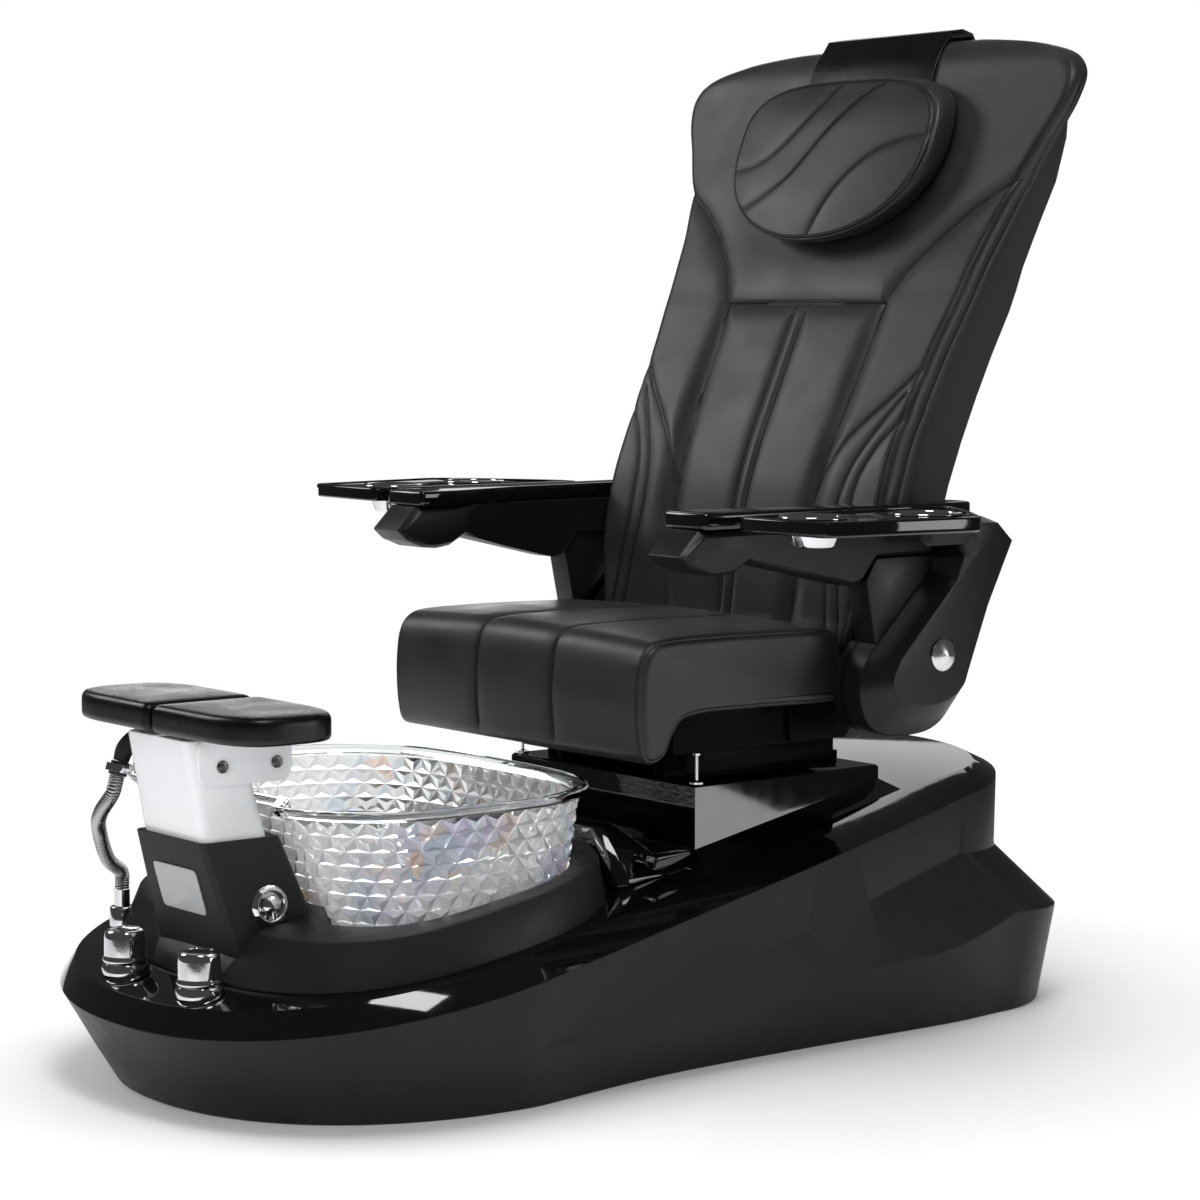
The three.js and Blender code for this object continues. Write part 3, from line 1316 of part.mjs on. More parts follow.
/** Tray bracket: a hexagonal knuckle on the housing's face and a bar to the tray's upright pin. */
function makeTrayBracket() {
  const under = tray.top - tray.thickness - clearance.rest;
  const y = station(trayPivot.noseTo);
  const boss = revolve([[0, under - 30], [15, under - 26], [15, under], [0, under]], 6);
  const pin = revolve([[0, under - 4], [tray.pinRadius, under - 4], [tray.pinRadius, under + 14], [0, under + 14]], 16);
  const post = vec(trayPivot.x, y, 0);
  const spread = box(360, 404, y - 6, y + 78, under - 24, under - 5);
  const face = arm.outer + clearance.rest;
  const knuckle = aim(revolve([[0, 0], [17, 0], [17, 10], [12, 15], [0, 15]], 6), vec(1, 0, 0), vec(face, y + 86, under - 36));
  const bar = box(face, face + 10, y, y + 90, under - 34, under - 8);
  const upright = join(
    boss.translate(post.x, post.y, 0), pin.translate(post.x, post.y, 0), spread, bar, knuckle,
  );
  return cut(upright, housingSolid(clearance.rest));
}

const cupPlace = { x: 472, noseTo: 753 };
const dishPlace = { x: 500, noseTo: 923 };
const dish = { flange: 47, depth: 14 };

/** Manicure tray: a glossy board with a raised edge, two round holes and a hole for its pin. */
function makeTray() {
  const under = tray.top - tray.thickness;
  const outline = [
    [407, station(678)], [578, station(680)], [606, station(921)], [505, station(996)], [430, station(1040)],
    [388, station(1042)], [384, station(1010)],
  ];
  const board = plate(roundedShape(outline, 18), under, tray.top, 2, 2);
  const sunk = plate(roundedShape([
    [417, station(688)], [568, station(690)], [595, station(917)], [500, station(986)], [440, station(1020)],
    [400, station(998)],
  ], 12), tray.top - 2.5, tray.top + 5, 0, 2);
  const hole = (place, radius) => disc(radius, 600, 800, 16).translate(place.x, station(place.noseTo), 0);
  const pinHole = bore(tray.pinRadius, 690, tray.top - 4, 16).translate(trayPivot.x, station(trayPivot.noseTo), 0);
  return cut(board, hole(cupPlace, tray.ringRadius - 3), hole(dishPlace, dish.flange - 4), pinHole, sunk);
}

/** Deep chrome cup holder hung in the tray by its flange. */
function makeCup() {
  const rim = tray.top - 2.5 + clearance.rest;
  const floorAt = tray.top - tray.cupDepth;
  const { ringRadius, cupRadius } = tray;
  return revolve([
    [0, floorAt], [cupRadius - 2, floorAt], [cupRadius, floorAt + 3], [ringRadius - 5, rim], [ringRadius, rim],
    [ringRadius, rim + 2], [ringRadius - 3, rim + 4.5], [ringRadius - 7, rim + 4], [cupRadius - 2, floorAt + 3],
    [0, floorAt + 3],
  ], 16).translate(cupPlace.x, station(cupPlace.noseTo), 0);
}

/** Shallow chrome dish ring behind the cup. */
function makeDish() {
  const rim = tray.top - 2.5 + clearance.rest;
  const { flange, depth } = dish;
  return revolve([
    [0, rim - depth], [flange - 7, rim - depth], [flange - 5, rim], [flange, rim], [flange, rim + 1.6],
    [flange - 4, rim + 3.6], [flange - 8, rim + 3], [flange - 9, rim - depth + 2], [0, rim - depth + 2],
  ], 16).translate(dishPlace.x, station(dishPlace.noseTo), 0);
}

// ---------------------------------------------------------------- power inlet

const inlet = { height: 62, halfWidth: 30, halfHeight: 20, face: 5 };

/** The opening in the shell's rear wall that the power inlet fills. */
function inletPocket() {
  const { height, halfWidth, halfHeight } = inlet;
  const rear = -nose;
  const [halfX, halfZ] = [halfWidth + clearance.rest, halfHeight + clearance.rest];
  return box(-halfX, halfX, rear - 60, rear + 20, height - halfZ, height + halfZ);
}

/** Power inlet in the rear wall: a framed socket, sunk from its face, with its body within. */
function makeInlet() {
  const { height, halfWidth, halfHeight, face } = inlet;
  const rear = -nose - face;
  const frame = box(-halfWidth, halfWidth, rear - 12, rear, height - halfHeight, height + halfHeight);
  const within = box(-24, 24, rear - 40, rear - 2, height - 14, height + 14);
  const recess = box(-19, 19, rear - 22, rear + 10, height - 10, height + 10);
  return cut(join(frame, within), recess);
}

// ---------------------------------------------------------------- the whole chair

const chair = new THREE.Group();
chair.name = "pedicure_chair";

chair.add(assembly(
  "base",
  piece("base_shell", makeBaseShell(), satinShell),
  piece("power_inlet", makeInlet(), mattBlack),
  piece("base_deck", makeBaseDeck(widePassage()), glossBlack),
  piece("bowl_collar", makeCollar(), satinShell),
  piece("glass_bowl", makeBowl(), clearGlass),
  piece("drain_strainer", makeDrain(), chrome),
  piece("jet_pump", makePump(), steelBlack),
  piece("drain_housing", makeDrainHousing(), glossBlack),
  piece("plinth", makePlinth(), glossBlack),
  piece("rail_right", makeRail(), steelBlack),
  piece("rail_left", mirrored(makeRail()), steelBlack),
  piece("stop_pin_right", makeStopPin(1), chrome),
  piece("stop_pin_left", makeStopPin(-1), chrome),
  piece("column_cover", makeColumnCover(), mattBlack),
  piece("touch_panel", makeTouchPanel(), panelGrey),
  piece("control_bezel", makeControlBezel(), chrome),
  piece("knob_seat_right", makeKnobSeat(1), chrome),
  piece("knob_seat_left", makeKnobSeat(-1), chrome),
  piece("hose_outlet", makeHoseOutlet(), chrome),
  piece("shower_hose", makeHose(), chrome),
));
chair.add(assembly("control", piece("control_knob", makeControlKnob(), chrome)));
chair.add(assembly("drain", piece("drain_lever", makeDrainLever(), glossBlack)));
chair.add(assembly("knob_r", piece("knob_right", makeKnob(1), chrome)));
chair.add(assembly("knob_l", piece("knob_left", makeKnob(-1), chrome)));

const [frontBolt, rearBolt] = boltPlaces();
chair.add(assembly(
  "footrest",
  piece("footrest_post", makeFootrestPost(), whiteGloss),
  piece("footrest_bracket", makeFootrestBracket(), whiteGloss),
  piece("bracket_bolt_front", makeBracketBolt(frontBolt), chrome),
  piece("bracket_bolt_rear", makeBracketBolt(rearBolt), chrome),
  piece("foot_pad_right", makePad(), leather),
  piece("foot_pad_left", mirrored(makePad()), leather),
  piece("shower_holder", makeShowerHolder(), chrome),
));
chair.add(assembly("shower", piece("hand_shower", makeHandShower(), mattBlack)));

chair.add(assembly(
  "seat",
  piece("seat_carriage", makeCarriage(), steelBlack),
  piece("seat_frame", makeSeatFrame(), steelBlack),
  piece("pivot_tube", makePivotTube(), steelBlack),
  piece("seat_cushion", makeSeatCushion(), leather),
));

chair.add(assembly(
  "backrest",
  piece("back_shell", makeBackShell(), mattBlack),
  piece("back_cushion", makeBackCushion(), leather),
  piece("pillow", makePillow(), leather),
  piece("pillow_strap", strapSolid(), leather),
));

for (const hand of [1, -1]) {
  const word = hand > 0 ? "right" : "left";
  chair.add(assembly(
    "arm_" + word,
    piece("arm_slab_" + word, onSide(makeArmSlab(), hand), glossBlack),
    piece("arm_cover_" + word, onSide(makeArmCover(), hand), mattBlack),
    piece("arm_housing_" + word, onSide(makeArmHousing(), hand), mattBlack),
    piece("pivot_cap_" + word, onSide(makePivotCap(), hand), chrome),
    piece("tray_bracket_" + word, onSide(makeTrayBracket(), hand), mattBlack),
  ));
  chair.add(assembly(
    "tray_" + word,
    piece("tray_board_" + word, onSide(makeTray(), hand), glossBlack),
    piece("cup_holder_" + word, onSide(makeCup(), hand), chrome),
    piece("dish_ring_" + word, onSide(makeDish(), hand), chrome),
  ));
}

export default chair;
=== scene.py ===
"""Studio scene of a pedicure spa chair: metres, +Z up, the sitter faces -Y and +X is the near side."""
import json
import logging
import math
from contextlib import contextmanager
from dataclasses import dataclass, field
from enum import Enum
from typing import Any, Callable, Iterable, Iterator, Sequence

import bmesh
import bpy
import numpy as np
from mathutils import Matrix, Vector
from mathutils.bvhtree import BVHTree


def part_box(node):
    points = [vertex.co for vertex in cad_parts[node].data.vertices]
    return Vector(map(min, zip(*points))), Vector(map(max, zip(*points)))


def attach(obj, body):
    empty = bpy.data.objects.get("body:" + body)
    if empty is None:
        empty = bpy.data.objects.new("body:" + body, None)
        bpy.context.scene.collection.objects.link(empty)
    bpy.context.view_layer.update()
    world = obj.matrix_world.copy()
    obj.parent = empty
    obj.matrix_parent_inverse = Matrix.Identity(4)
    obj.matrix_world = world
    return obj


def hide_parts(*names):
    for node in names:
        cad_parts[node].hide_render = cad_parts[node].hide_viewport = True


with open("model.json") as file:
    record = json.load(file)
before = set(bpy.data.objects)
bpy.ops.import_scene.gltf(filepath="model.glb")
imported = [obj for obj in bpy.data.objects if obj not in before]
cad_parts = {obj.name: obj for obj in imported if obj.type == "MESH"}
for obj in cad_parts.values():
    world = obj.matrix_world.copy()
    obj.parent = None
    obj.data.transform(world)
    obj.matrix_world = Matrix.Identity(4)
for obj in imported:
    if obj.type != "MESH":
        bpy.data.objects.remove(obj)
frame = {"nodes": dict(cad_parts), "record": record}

LOG = logging.getLogger("spa_chair")
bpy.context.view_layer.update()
MM = 0.001
NOSE = -744.0
SIDES = {"right": 1, "left": -1}
PIVOT = (1058, 538)
BACK_NORMAL = (0, -0.9, 0.43)
BODY_OF = {node: body for body, nodes in frame["record"]["behaviour"]["bodies"].items() for node in nodes}

Points = np.ndarray
Piece = bpy.types.Object


# ---------------------------------------------------------------- plain geometry, in millimetres


def station(distance: float) -> float:
    """The Y of a station that is measured along the chair from the tip of its nose."""
    return NOSE + distance


def smooth(value: Points | float, low: float, high: float) -> Points | float:
    """A smooth step from 0 at low to 1 at high."""
    share = np.clip((np.asarray(value, float) - low) / (high - low), 0, 1)
    return share * share * (3 - 2 * share)


def super_quarter(half: float, reach: float, power: float, steps: int) -> Points:
    """A quarter of a superellipse, from its end on the axis to its widest point.

    Args:
        half: Half width at the widest point.
        reach: Length from the widest point to the end.
        power: 2 for an ellipse and more for a squarer line.
        steps: Number of stretches.

    Returns:
        Rows of (x, y), with y falling from reach to 0.
    """
    angle = (math.pi / 2) * (1 - np.arange(steps + 1) / steps)
    cosine, sine = np.clip(np.cos(angle), 0, 1), np.clip(np.sin(angle), 0, 1)
    return np.stack([half * cosine ** (2 / power), reach * sine ** (2 / power)], axis=1)


def flowing(knots: Sequence[Sequence[float]], steps: int) -> Points:
    """A centripetal curve through the knots.

    Args:
        knots: Rows of coordinates.
        steps: Number of stretches, shared evenly by the spans between knots.

    Returns:
        steps + 1 rows of coordinates.
    """
    given = np.asarray(knots, float)
    padded = np.vstack([2 * given[0] - given[1], given, 2 * given[-1] - given[-2]])
    spans = len(given) - 1
    rows = []
    for share in np.linspace(0, spans, steps + 1):
        span = min(int(share), spans - 1)
        p0, p1, p2, p3 = padded[span:span + 4]
        d0, d1, d2 = (max(float(np.linalg.norm(b - a)) ** 0.5, 1e-4) for a, b in ((p0, p1), (p1, p2), (p2, p3)))
        t1 = ((p1 - p0) / d0 - (p2 - p0) / (d0 + d1) + (p2 - p1) / d1) * d1
        t2 = ((p2 - p1) / d1 - (p3 - p1) / (d1 + d2) + (p3 - p2) / d2) * d1
        t = share - span
        rows.append(p1 + t1 * t + (-3 * p1 + 3 * p2 - 2 * t1 - t2) * t**2 + (2 * p1 - 2 * p2 + t1 + t2) * t**3)
    return np.array(rows)


def evenly(line: Points, count: int, closed: bool = True, phase: float = 0.0) -> Points:
    """The line cut into equal lengths.

    Args:
        line: Rows of coordinates.
        count: Number of points wanted.
        closed: Whether the last point joins the first.
        phase: Shift along the line, as a share of one length.

    Returns:
        count rows of coordinates.
    """
    rows = np.vstack([line, line[:1]]) if closed else np.asarray(line, float)
    reach = np.concatenate([[0], np.cumsum(np.linalg.norm(np.diff(rows, axis=0), axis=1))])
    last = count if closed else count - 1
    wanted = reach[-1] * (np.arange(count) + phase) / last
    return np.stack([np.interp(wanted, reach, rows[:, k]) for k in range(rows.shape[1])], axis=1)


def far_from(line: Points, spots: Points) -> Points:
    """The distance from each spot to a flat polyline.

    Args:
        line: Rows of (a, b).
        spots: An array whose last axis is (a, b).

    Returns:
        An array of distances, without the last axis.
    """
    best = np.full(spots.shape[:-1], 1e9)
    for start, end in zip(line[:-1], line[1:]):
        along = end - start
        share = np.clip(((spots - start) @ along) / max(float(along @ along), 1e-9), 0, 1)
        gap = spots - (start + share[..., None] * along)
        best = np.minimum(best, np.hypot(gap[..., 0], gap[..., 1]))
    return best


def mirrored(line: Points) -> Points:
    """The line's reflection in the chair's middle plane."""
    return line * np.array([-1.0] + [1.0] * (line.shape[-1] - 1))


def unit(rows: Points) -> Points:
    """The rows at a length of 1."""
    return rows / np.linalg.norm(rows, axis=-1, keepdims=True)


def egg(half: float, ends: tuple[float, float, float], powers: tuple[float, float], steps: tuple[int, int],
        notch: Callable[[Points], Points] = np.zeros_like) -> Points:
    """A closed outline with a blunt curve ahead of its widest point and another behind it.

    Args:
        half: Half width at the widest point.
        ends: Y of the front end, the widest point and the rear end.
        powers: Squareness of the front and the rear curve.
        steps: Number of stretches on a quarter of each.
        notch: How far the front is set back at each X.

    Returns:
        Rows of (x, y), from the front's middle along the near side and back.
    """
    front, middle, rear = ends
    ahead = super_quarter(half, middle - front, powers[0], steps[0])
    behind = super_quarter(half, rear - middle, powers[1], steps[1])[::-1]
    right = np.vstack([
        np.stack([ahead[:, 0], middle - ahead[:, 1] + notch(ahead[:, 0])], axis=1),
        np.stack([behind[1:, 0], middle + behind[1:, 1]], axis=1),
    ])
    return np.vstack([right, mirrored(right[1:-1][::-1])])


# ---------------------------------------------------------------- modelling


class Bench:
    """Modelling steps as a modeller takes them by hand. Each leaves its piece in object mode."""

    @staticmethod
    def clear() -> None:
        """Deselects every object."""
        if bpy.context.object and bpy.context.object.mode != "OBJECT":
            bpy.ops.object.mode_set(mode="OBJECT")
        bpy.ops.object.select_all(action="DESELECT")

    @staticmethod
    def only(piece: Piece) -> None:
        """Makes the piece the only selected and the active one."""
        Bench.clear()
        piece.select_set(True)
        bpy.context.view_layer.objects.active = piece

    @staticmethod
    @contextmanager
    def editing(piece: Piece) -> Iterator[None]:
        """Edit mode with the whole piece selected, and object mode again afterwards."""
        Bench.only(piece)
        bpy.ops.object.mode_set(mode="EDIT")
        bpy.ops.mesh.select_all(action="SELECT")
        yield
        bpy.ops.object.mode_set(mode="OBJECT")

    @staticmethod
    def skin(name: str, rings: Points) -> Piece:
        """A closed skin through rings, from a grid whose points are moved onto them.

        Args:
            name: Name of the piece.
            rings: Array of rings, points and coordinates, in millimetres.

        Returns:
            The new piece.
        """
        rings = np.asarray(rings, float)
        rows, count = rings.shape[:2]
        Bench.clear()
        bpy.ops.mesh.primitive_grid_add(x_subdivisions=count, y_subdivisions=rows - 1, size=1)
        piece = bpy.context.object
        piece.name = piece.data.name = name
        points = rings[:, np.arange(count + 1) % count].reshape(-1, 3) * MM
        piece.data.vertices.foreach_set("co", points.ravel())
        with Bench.editing(piece):
            bpy.ops.mesh.remove_doubles(threshold=1e-6)
        for ring in (rings[0], rings[-1]):
            Bench.fill_loop(piece, ring * MM)
        Bench.outward(piece)
        return piece

    @staticmethod
    def from_faces(name: str, cloud: Points, faces: list[list[int]]) -> Piece:
        """A mesh of given points, in millimetres, and faces, put in place of a primitive's own."""
        Bench.clear()
        bpy.ops.mesh.primitive_cube_add(size=1)
        piece = bpy.context.object
        piece.name = name
        mesh = bpy.data.meshes.new(name)
        mesh.from_pydata([tuple(p) for p in cloud * MM], [], faces)
        mesh.validate()
        piece.data = mesh
        Bench.outward(piece)
        return piece

    @staticmethod
    def fill_loop(piece: Piece, ring: Points) -> None:
        """Fills the open loop of the piece that runs through the ring's points."""
        wanted = {tuple(np.round(p, 5)) for p in ring}
        if len(wanted) < 3:
            return
        with Bench.editing(piece):
            bpy.ops.mesh.select_mode(type="EDGE")
            bpy.ops.mesh.select_all(action="DESELECT")
            solid = bmesh.from_edit_mesh(piece.data)
            for edge in solid.edges:
                if edge.is_boundary and all(tuple(np.round(v.co, 5)) in wanted for v in edge.verts):
                    edge.select_set(True)
            bmesh.update_edit_mesh(piece.data)
            bpy.ops.mesh.edge_face_add()

    @staticmethod
    def outward(piece: Piece) -> None:
        """Turns every face of the piece outwards."""
        with Bench.editing(piece):
            bpy.ops.mesh.normals_make_consistent(inside=False)

    @staticmethod
    def turned(
        name: str,
        profile: Sequence[tuple[float, float]],
        place: Sequence[float],
        axis: Sequence[float] = (0, 0, 1),
        sides: int = 64,
    ) -> Piece:
        """A turned piece: a circle that is extruded and sized from one profile point to the next.

        Args:
            name: Name of the piece.
            profile: Pairs of radius and height, in millimetres. It starts and ends on the axis, or
                else it is the closed outline of a ring.
            place: Where the profile's zero height is, in millimetres.
            axis: The direction in which heights are measured.
            sides: Number of points round.

        Returns:
            The new piece.
        """
        Bench.clear()
        bpy.ops.mesh.primitive_circle_add(vertices=sides, radius=1, fill_type="NOTHING")
        piece = bpy.context.object
        piece.name = piece.data.name = name
        bpy.ops.object.mode_set(mode="EDIT")
        solid = bmesh.from_edit_mesh(piece.data)
        solid.verts.ensure_lookup_table()
        bearing = solid.verts.layers.float_vector.new("bearing")
        for vertex in solid.verts:
            vertex[bearing] = vertex.co.copy()
        outline = list(profile) + ([profile[0]] if profile[0][0] else [])
        bpy.ops.mesh.select_all(action="SELECT")
        for step, (radius, height) in enumerate(outline):
            if step:
                bpy.ops.mesh.extrude_region_move()
            solid = bmesh.from_edit_mesh(piece.data)
            bearing = solid.verts.layers.float_vector["bearing"]
            for vertex in solid.verts:
                if vertex.select:
                    vertex.co = vertex[bearing] * max(radius, 1e-4) * MM + Vector((0, 0, height * MM))
            bmesh.update_edit_mesh(piece.data)
        with Bench.editing(piece):
            bpy.ops.mesh.remove_doubles(threshold=2e-7)
            bpy.ops.mesh.normals_make_consistent(inside=False)
        turn = Vector((0, 0, 1)).rotation_difference(Vector(axis).normalized()).to_matrix().to_4x4()
        piece.data.transform(Matrix.Translation(Vector(place) * MM) @ turn)
        return piece

    @staticmethod
    def modify(piece: Piece, kind: str, **settings: Any) -> Piece:
        """Adds one modifier with its settings and applies it."""
        Bench.only(piece)
        modifier = piece.modifiers.new(kind.title(), kind)
        for key, value in settings.items():
            setattr(modifier, key, value)
        bpy.ops.object.modifier_apply(modifier=modifier.name)
        return piece

    @staticmethod
    def eased(piece: Piece, width: float, angle: float = 28, segments: int = 2) -> Piece:
        """Rounds the piece's sharp edges by a width in millimetres, and shades it smoothly."""
        if width:
            Bench.modify(
                piece, "BEVEL", width=width * MM, segments=segments, limit_method="ANGLE",
                angle_limit=math.radians(angle), use_clamp_overlap=True,
            )
        return Bench.shaded(piece, angle)

    @staticmethod
    def shaded(piece: Piece, angle: float = 30) -> Piece:
        """Shades smoothly wherever faces meet at less than the angle."""
        Bench.only(piece)
        bpy.ops.object.shade_smooth_by_angle(angle=math.radians(angle))
        return piece

    @staticmethod
    def cut(piece: Piece, *cutters: Piece) -> Piece:
        """Cuts the cutters out of the piece and removes them."""
        for cutter in cutters:
            Bench.modify(piece, "BOOLEAN", object=cutter, operation="DIFFERENCE", solver="EXACT")
            bpy.data.objects.remove(cutter)
        return piece

    @staticmethod
    def copied(node: str, name: str) -> Piece:
        """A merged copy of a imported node's mesh, with its flat faces joined up again."""
        source = frame["nodes"][node]
        piece = bpy.data.objects.new(name, source.data.copy())
        bpy.context.scene.collection.objects.link(piece)
        piece.data.name = name
        with Bench.editing(piece):
            bpy.ops.mesh.remove_doubles(threshold=2e-6)
            bpy.ops.mesh.dissolve_limited(angle_limit=math.radians(0.6))
        return piece

    @staticmethod
    def faces_of(piece: Piece) -> BVHTree:
        """The piece's faces, to lay thread on."""
        solid = bmesh.new()
        solid.from_mesh(piece.data)
        tree = BVHTree.FromBMesh(solid)
        solid.free()
        return tree

    @staticmethod
    def joined(name: str, pieces: Sequence[Piece]) -> Piece:
        """The pieces as one."""
        Bench.clear()
        for piece in pieces:
            piece.select_set(True)
        bpy.context.view_layer.objects.active = pieces[0]
        bpy.ops.object.join()
        pieces[0].name = pieces[0].data.name = name
        return pieces[0]


# ---------------------------------------------------------------- finishes


class Wiring:
    """Short-hand for the nodes of one material."""

    def __init__(self, name: str) -> None:
        """Starts a material with a principled shader."""
        self.material = bpy.data.materials.new(name)
        self.material.use_nodes = True
        self.tree = self.material.node_tree
        self.shader = self.tree.nodes["Principled BSDF"]
        self.output = self.tree.nodes["Material Output"]
        self.place = self.add("ShaderNodeTexCoord").outputs["Object"]

    def add(self, kind: str, values: dict[str | int, Any] | None = None, **settings: Any) -> bpy.types.Node:
        """One node, with its settings and the values or links of its sockets."""
        node = self.tree.nodes.new(kind)
        for key, value in settings.items():
            setattr(node, key, value)
        for key, value in (values or {}).items():
            self.feed(node.inputs[key], value)
        return node

    def feed(self, socket: bpy.types.NodeSocket, value: Any) -> None:
        """Links or sets one socket."""
        if isinstance(value, bpy.types.NodeSocket):
            self.tree.links.new(value, socket)
        else:
            socket.default_value = value

    def set(self, **values: Any) -> None:
        """Sets the shader's sockets, whose names are written with underscores."""
        for key, value in values.items():
            self.feed(self.shader.inputs[key.replace("_", " ")], value)

    def noise(self, scale: float, detail: float = 3, stretch: Sequence[float] = (1, 1, 1)) -> bpy.types.NodeSocket:
        """Noise on the object's own coordinates."""
        mapping = self.add("ShaderNodeMapping", {"Vector": self.place, "Scale": tuple(stretch)})
        values = {"Vector": mapping.outputs[0], "Scale": scale, "Detail": detail}
        return self.add("ShaderNodeTexNoise", values).outputs[0]

    def ranged(self, value: bpy.types.NodeSocket, low: float, high: float,
               start: float = 0.3, end: float = 0.7) -> bpy.types.NodeSocket:
        """The value stretched from start..end to low..high."""
        return self.add(
            "ShaderNodeMapRange",
            {"Value": value, "From Min": start, "From Max": end, "To Min": low, "To Max": high},
        ).outputs[0]

    def bump(self, heights: Iterable[tuple[bpy.types.NodeSocket, float]]) -> bpy.types.NodeSocket:
        """Bumps laid over one another, each a height and its depth in millimetres."""
        normal: Any = None
        for height, depth in heights:
            values: dict[str | int, Any] = {"Height": height, "Distance": depth * MM, "Strength": 1.0}
            if normal is not None:
                values["Normal"] = normal
            normal = self.add("ShaderNodeBump", values).outputs[0]
        return normal

    def blend(self, share: Any, low: Sequence[float], high: Sequence[float]) -> bpy.types.NodeSocket:
        """A mix of two colours."""
        node = self.add("ShaderNodeMix", data_type="RGBA")
        self.feed(node.inputs[0], share)
        self.feed(node.inputs[6], (*low, 1.0))
        self.feed(node.inputs[7], (*high, 1.0))
        return node.outputs[2]


@dataclass(frozen=True)
class Finish:
    """What every finish has: its name, the record's slot and its colour."""

    name: str
    slot: str
    color: tuple[float, float, float]
    roughness: float

    def material(self) -> bpy.types.Material:
        """The finish's material, made once."""
        return bpy.data.materials.get(self.name) or self.made()

    def made(self) -> bpy.types.Material:
        """Makes the material."""
        raise NotImplementedError


@dataclass(frozen=True)
class Moulded(Finish):
    """Moulded plastic: its colour drifts a little, and its gloss where hands and cloths pass."""

    drift: float = 0.12
    haze: float = 0.05
    ripple: float = 0.05
    grain: float = 0.0
    grain_scale: float = 900
    coat: float = 0.0
    shine: float = 0.5

    def made(self) -> bpy.types.Material:
        """Makes the material."""
        wiring = Wiring(self.name)
        cloud = wiring.noise(5.0, 4)
        handling = wiring.noise(38.0, 5)
        shade = wiring.ranged(cloud, 0, 1)
        darker = tuple(c * (1 - self.drift) for c in self.color)
        lighter = tuple(c * (1 + self.drift) for c in self.color)
        rough = wiring.ranged(handling, max(0.02, self.roughness - self.haze), self.roughness + self.haze)
        layers = [(wiring.noise(9.0, 2), self.ripple)]
        if self.grain:
            layers.append((wiring.noise(self.grain_scale, 3), self.grain))
        wiring.set(
            Base_Color=wiring.blend(shade, darker, lighter), Roughness=rough, Normal=wiring.bump(layers),
            Coat_Weight=self.coat, Coat_Roughness=0.04, Specular_IOR_Level=self.shine,
        )
        return wiring.material


@dataclass(frozen=True)
class Leather(Finish):
    """Coated upholstery leather: pebbled grain, soft creases and a duller bloom in patches."""

    grain: float = 0.09
    crease: float = 0.5
    fuzz: float = 0.05
    shine: float = 0.5

    def made(self) -> bpy.types.Material:
        """Makes the material."""
        wiring = Wiring(self.name)
        pores = wiring.add(
            "ShaderNodeTexVoronoi", {"Vector": wiring.place, "Scale": 620.0}, feature="DISTANCE_TO_EDGE",
        ).outputs["Distance"]
        pebble = wiring.ranged(pores, 0, 1, 0, 0.12)
        wrinkle = wiring.noise(21, 6, (1, 1.6, 0.7))
        sag = wiring.noise(7, 2)
        bloom = wiring.noise(16, 5)
        patch = wiring.ranged(bloom, 0, 1)
        darker = tuple(c * 0.8 for c in self.color)
        lighter = tuple(c * 1.25 for c in self.color)
        wiring.set(
            Base_Color=wiring.blend(patch, darker, lighter),
            Roughness=wiring.ranged(bloom, self.roughness - 0.05, self.roughness + 0.07),
            Normal=wiring.bump([(sag, self.crease * 2.4), (wrinkle, self.crease), (pebble, self.grain)]),
            Specular_IOR_Level=self.shine,
            Sheen_Weight=self.fuzz,
            Sheen_Roughness=0.4,
        )
        return wiring.material


@dataclass(frozen=True)
class Metal(Finish):
    """Plated or brushed metal, with faint drag marks."""

    marks: float = 0.01
    mark_scale: float = 240
    stretch: tuple[float, float, float] = (1, 1, 1)

    def made(self) -> bpy.types.Material:
        """Makes the material."""
        wiring = Wiring(self.name)
        drag = wiring.noise(self.mark_scale, 4, self.stretch)
        stain = wiring.noise(30, 4)
        darker = tuple(c * 0.93 for c in self.color)
        wiring.set(
            Metallic=1.0,
            Base_Color=wiring.blend(wiring.ranged(stain, 0, 1), darker, self.color),
            Roughness=wiring.ranged(drag, max(0.02, self.roughness * 0.7), self.roughness * 1.3),
            Normal=wiring.bump([(drag, self.marks)]),
        )
        return wiring.material


@dataclass(frozen=True)
class Crystal(Finish):
    """Clear cast glass with an iridescent skin, whose sheen is painted into its colour as pastel tints that wander
    from facet to facet.
    """

    clear: float = 1.0
    sheen_tints: tuple[tuple[float, float, float], ...] = ()

    def made(self) -> bpy.types.Material:
        """Makes the material."""
        wiring = Wiring(self.name)
        color: Any = (*self.color, 1.0)
        # Painted sheen: pastel tints from the ramp, laid over the white in patches, stand in for the iridescent skin's
        # play of colour.
        if self.sheen_tints:
            cells = wiring.add(
                "ShaderNodeTexVoronoi", {"Vector": wiring.place, "Scale": 30.0, "Randomness": 1.0}, feature="F1",
            ).outputs["Color"]
            pick = wiring.add("ShaderNodeSeparateColor", {0: cells}).outputs[0]
            ramp = wiring.add("ShaderNodeValToRGB", {"Fac": pick})
            ramp.color_ramp.interpolation = "B_SPLINE"
            points = ramp.color_ramp.elements
            while len(points) < len(self.sheen_tints):
                points.new(0.5)
            for k, sheen_tint in enumerate(self.sheen_tints):
                points[k].position = k / (len(self.sheen_tints) - 1)
                points[k].color = (*sheen_tint, 1)
            sheen = wiring.ranged(wiring.noise(7.0, 2), 0, 1, 0.47, 0.60)
            mixed = wiring.add("ShaderNodeMix", {"Factor": sheen}, data_type="RGBA")
            mixed.inputs[6].default_value = color
            wiring.tree.links.new(ramp.outputs[0], mixed.inputs[7])
            color = mixed.outputs[2]
        wiring.set(
            Base_Color=color, Roughness=self.roughness, IOR=1.5, Transmission_Weight=self.clear,
            Thin_Film_Thickness=300.0, Thin_Film_IOR=1.45, Normal=wiring.bump([(wiring.noise(30, 2), 0.12)]),
        )
        return wiring.material


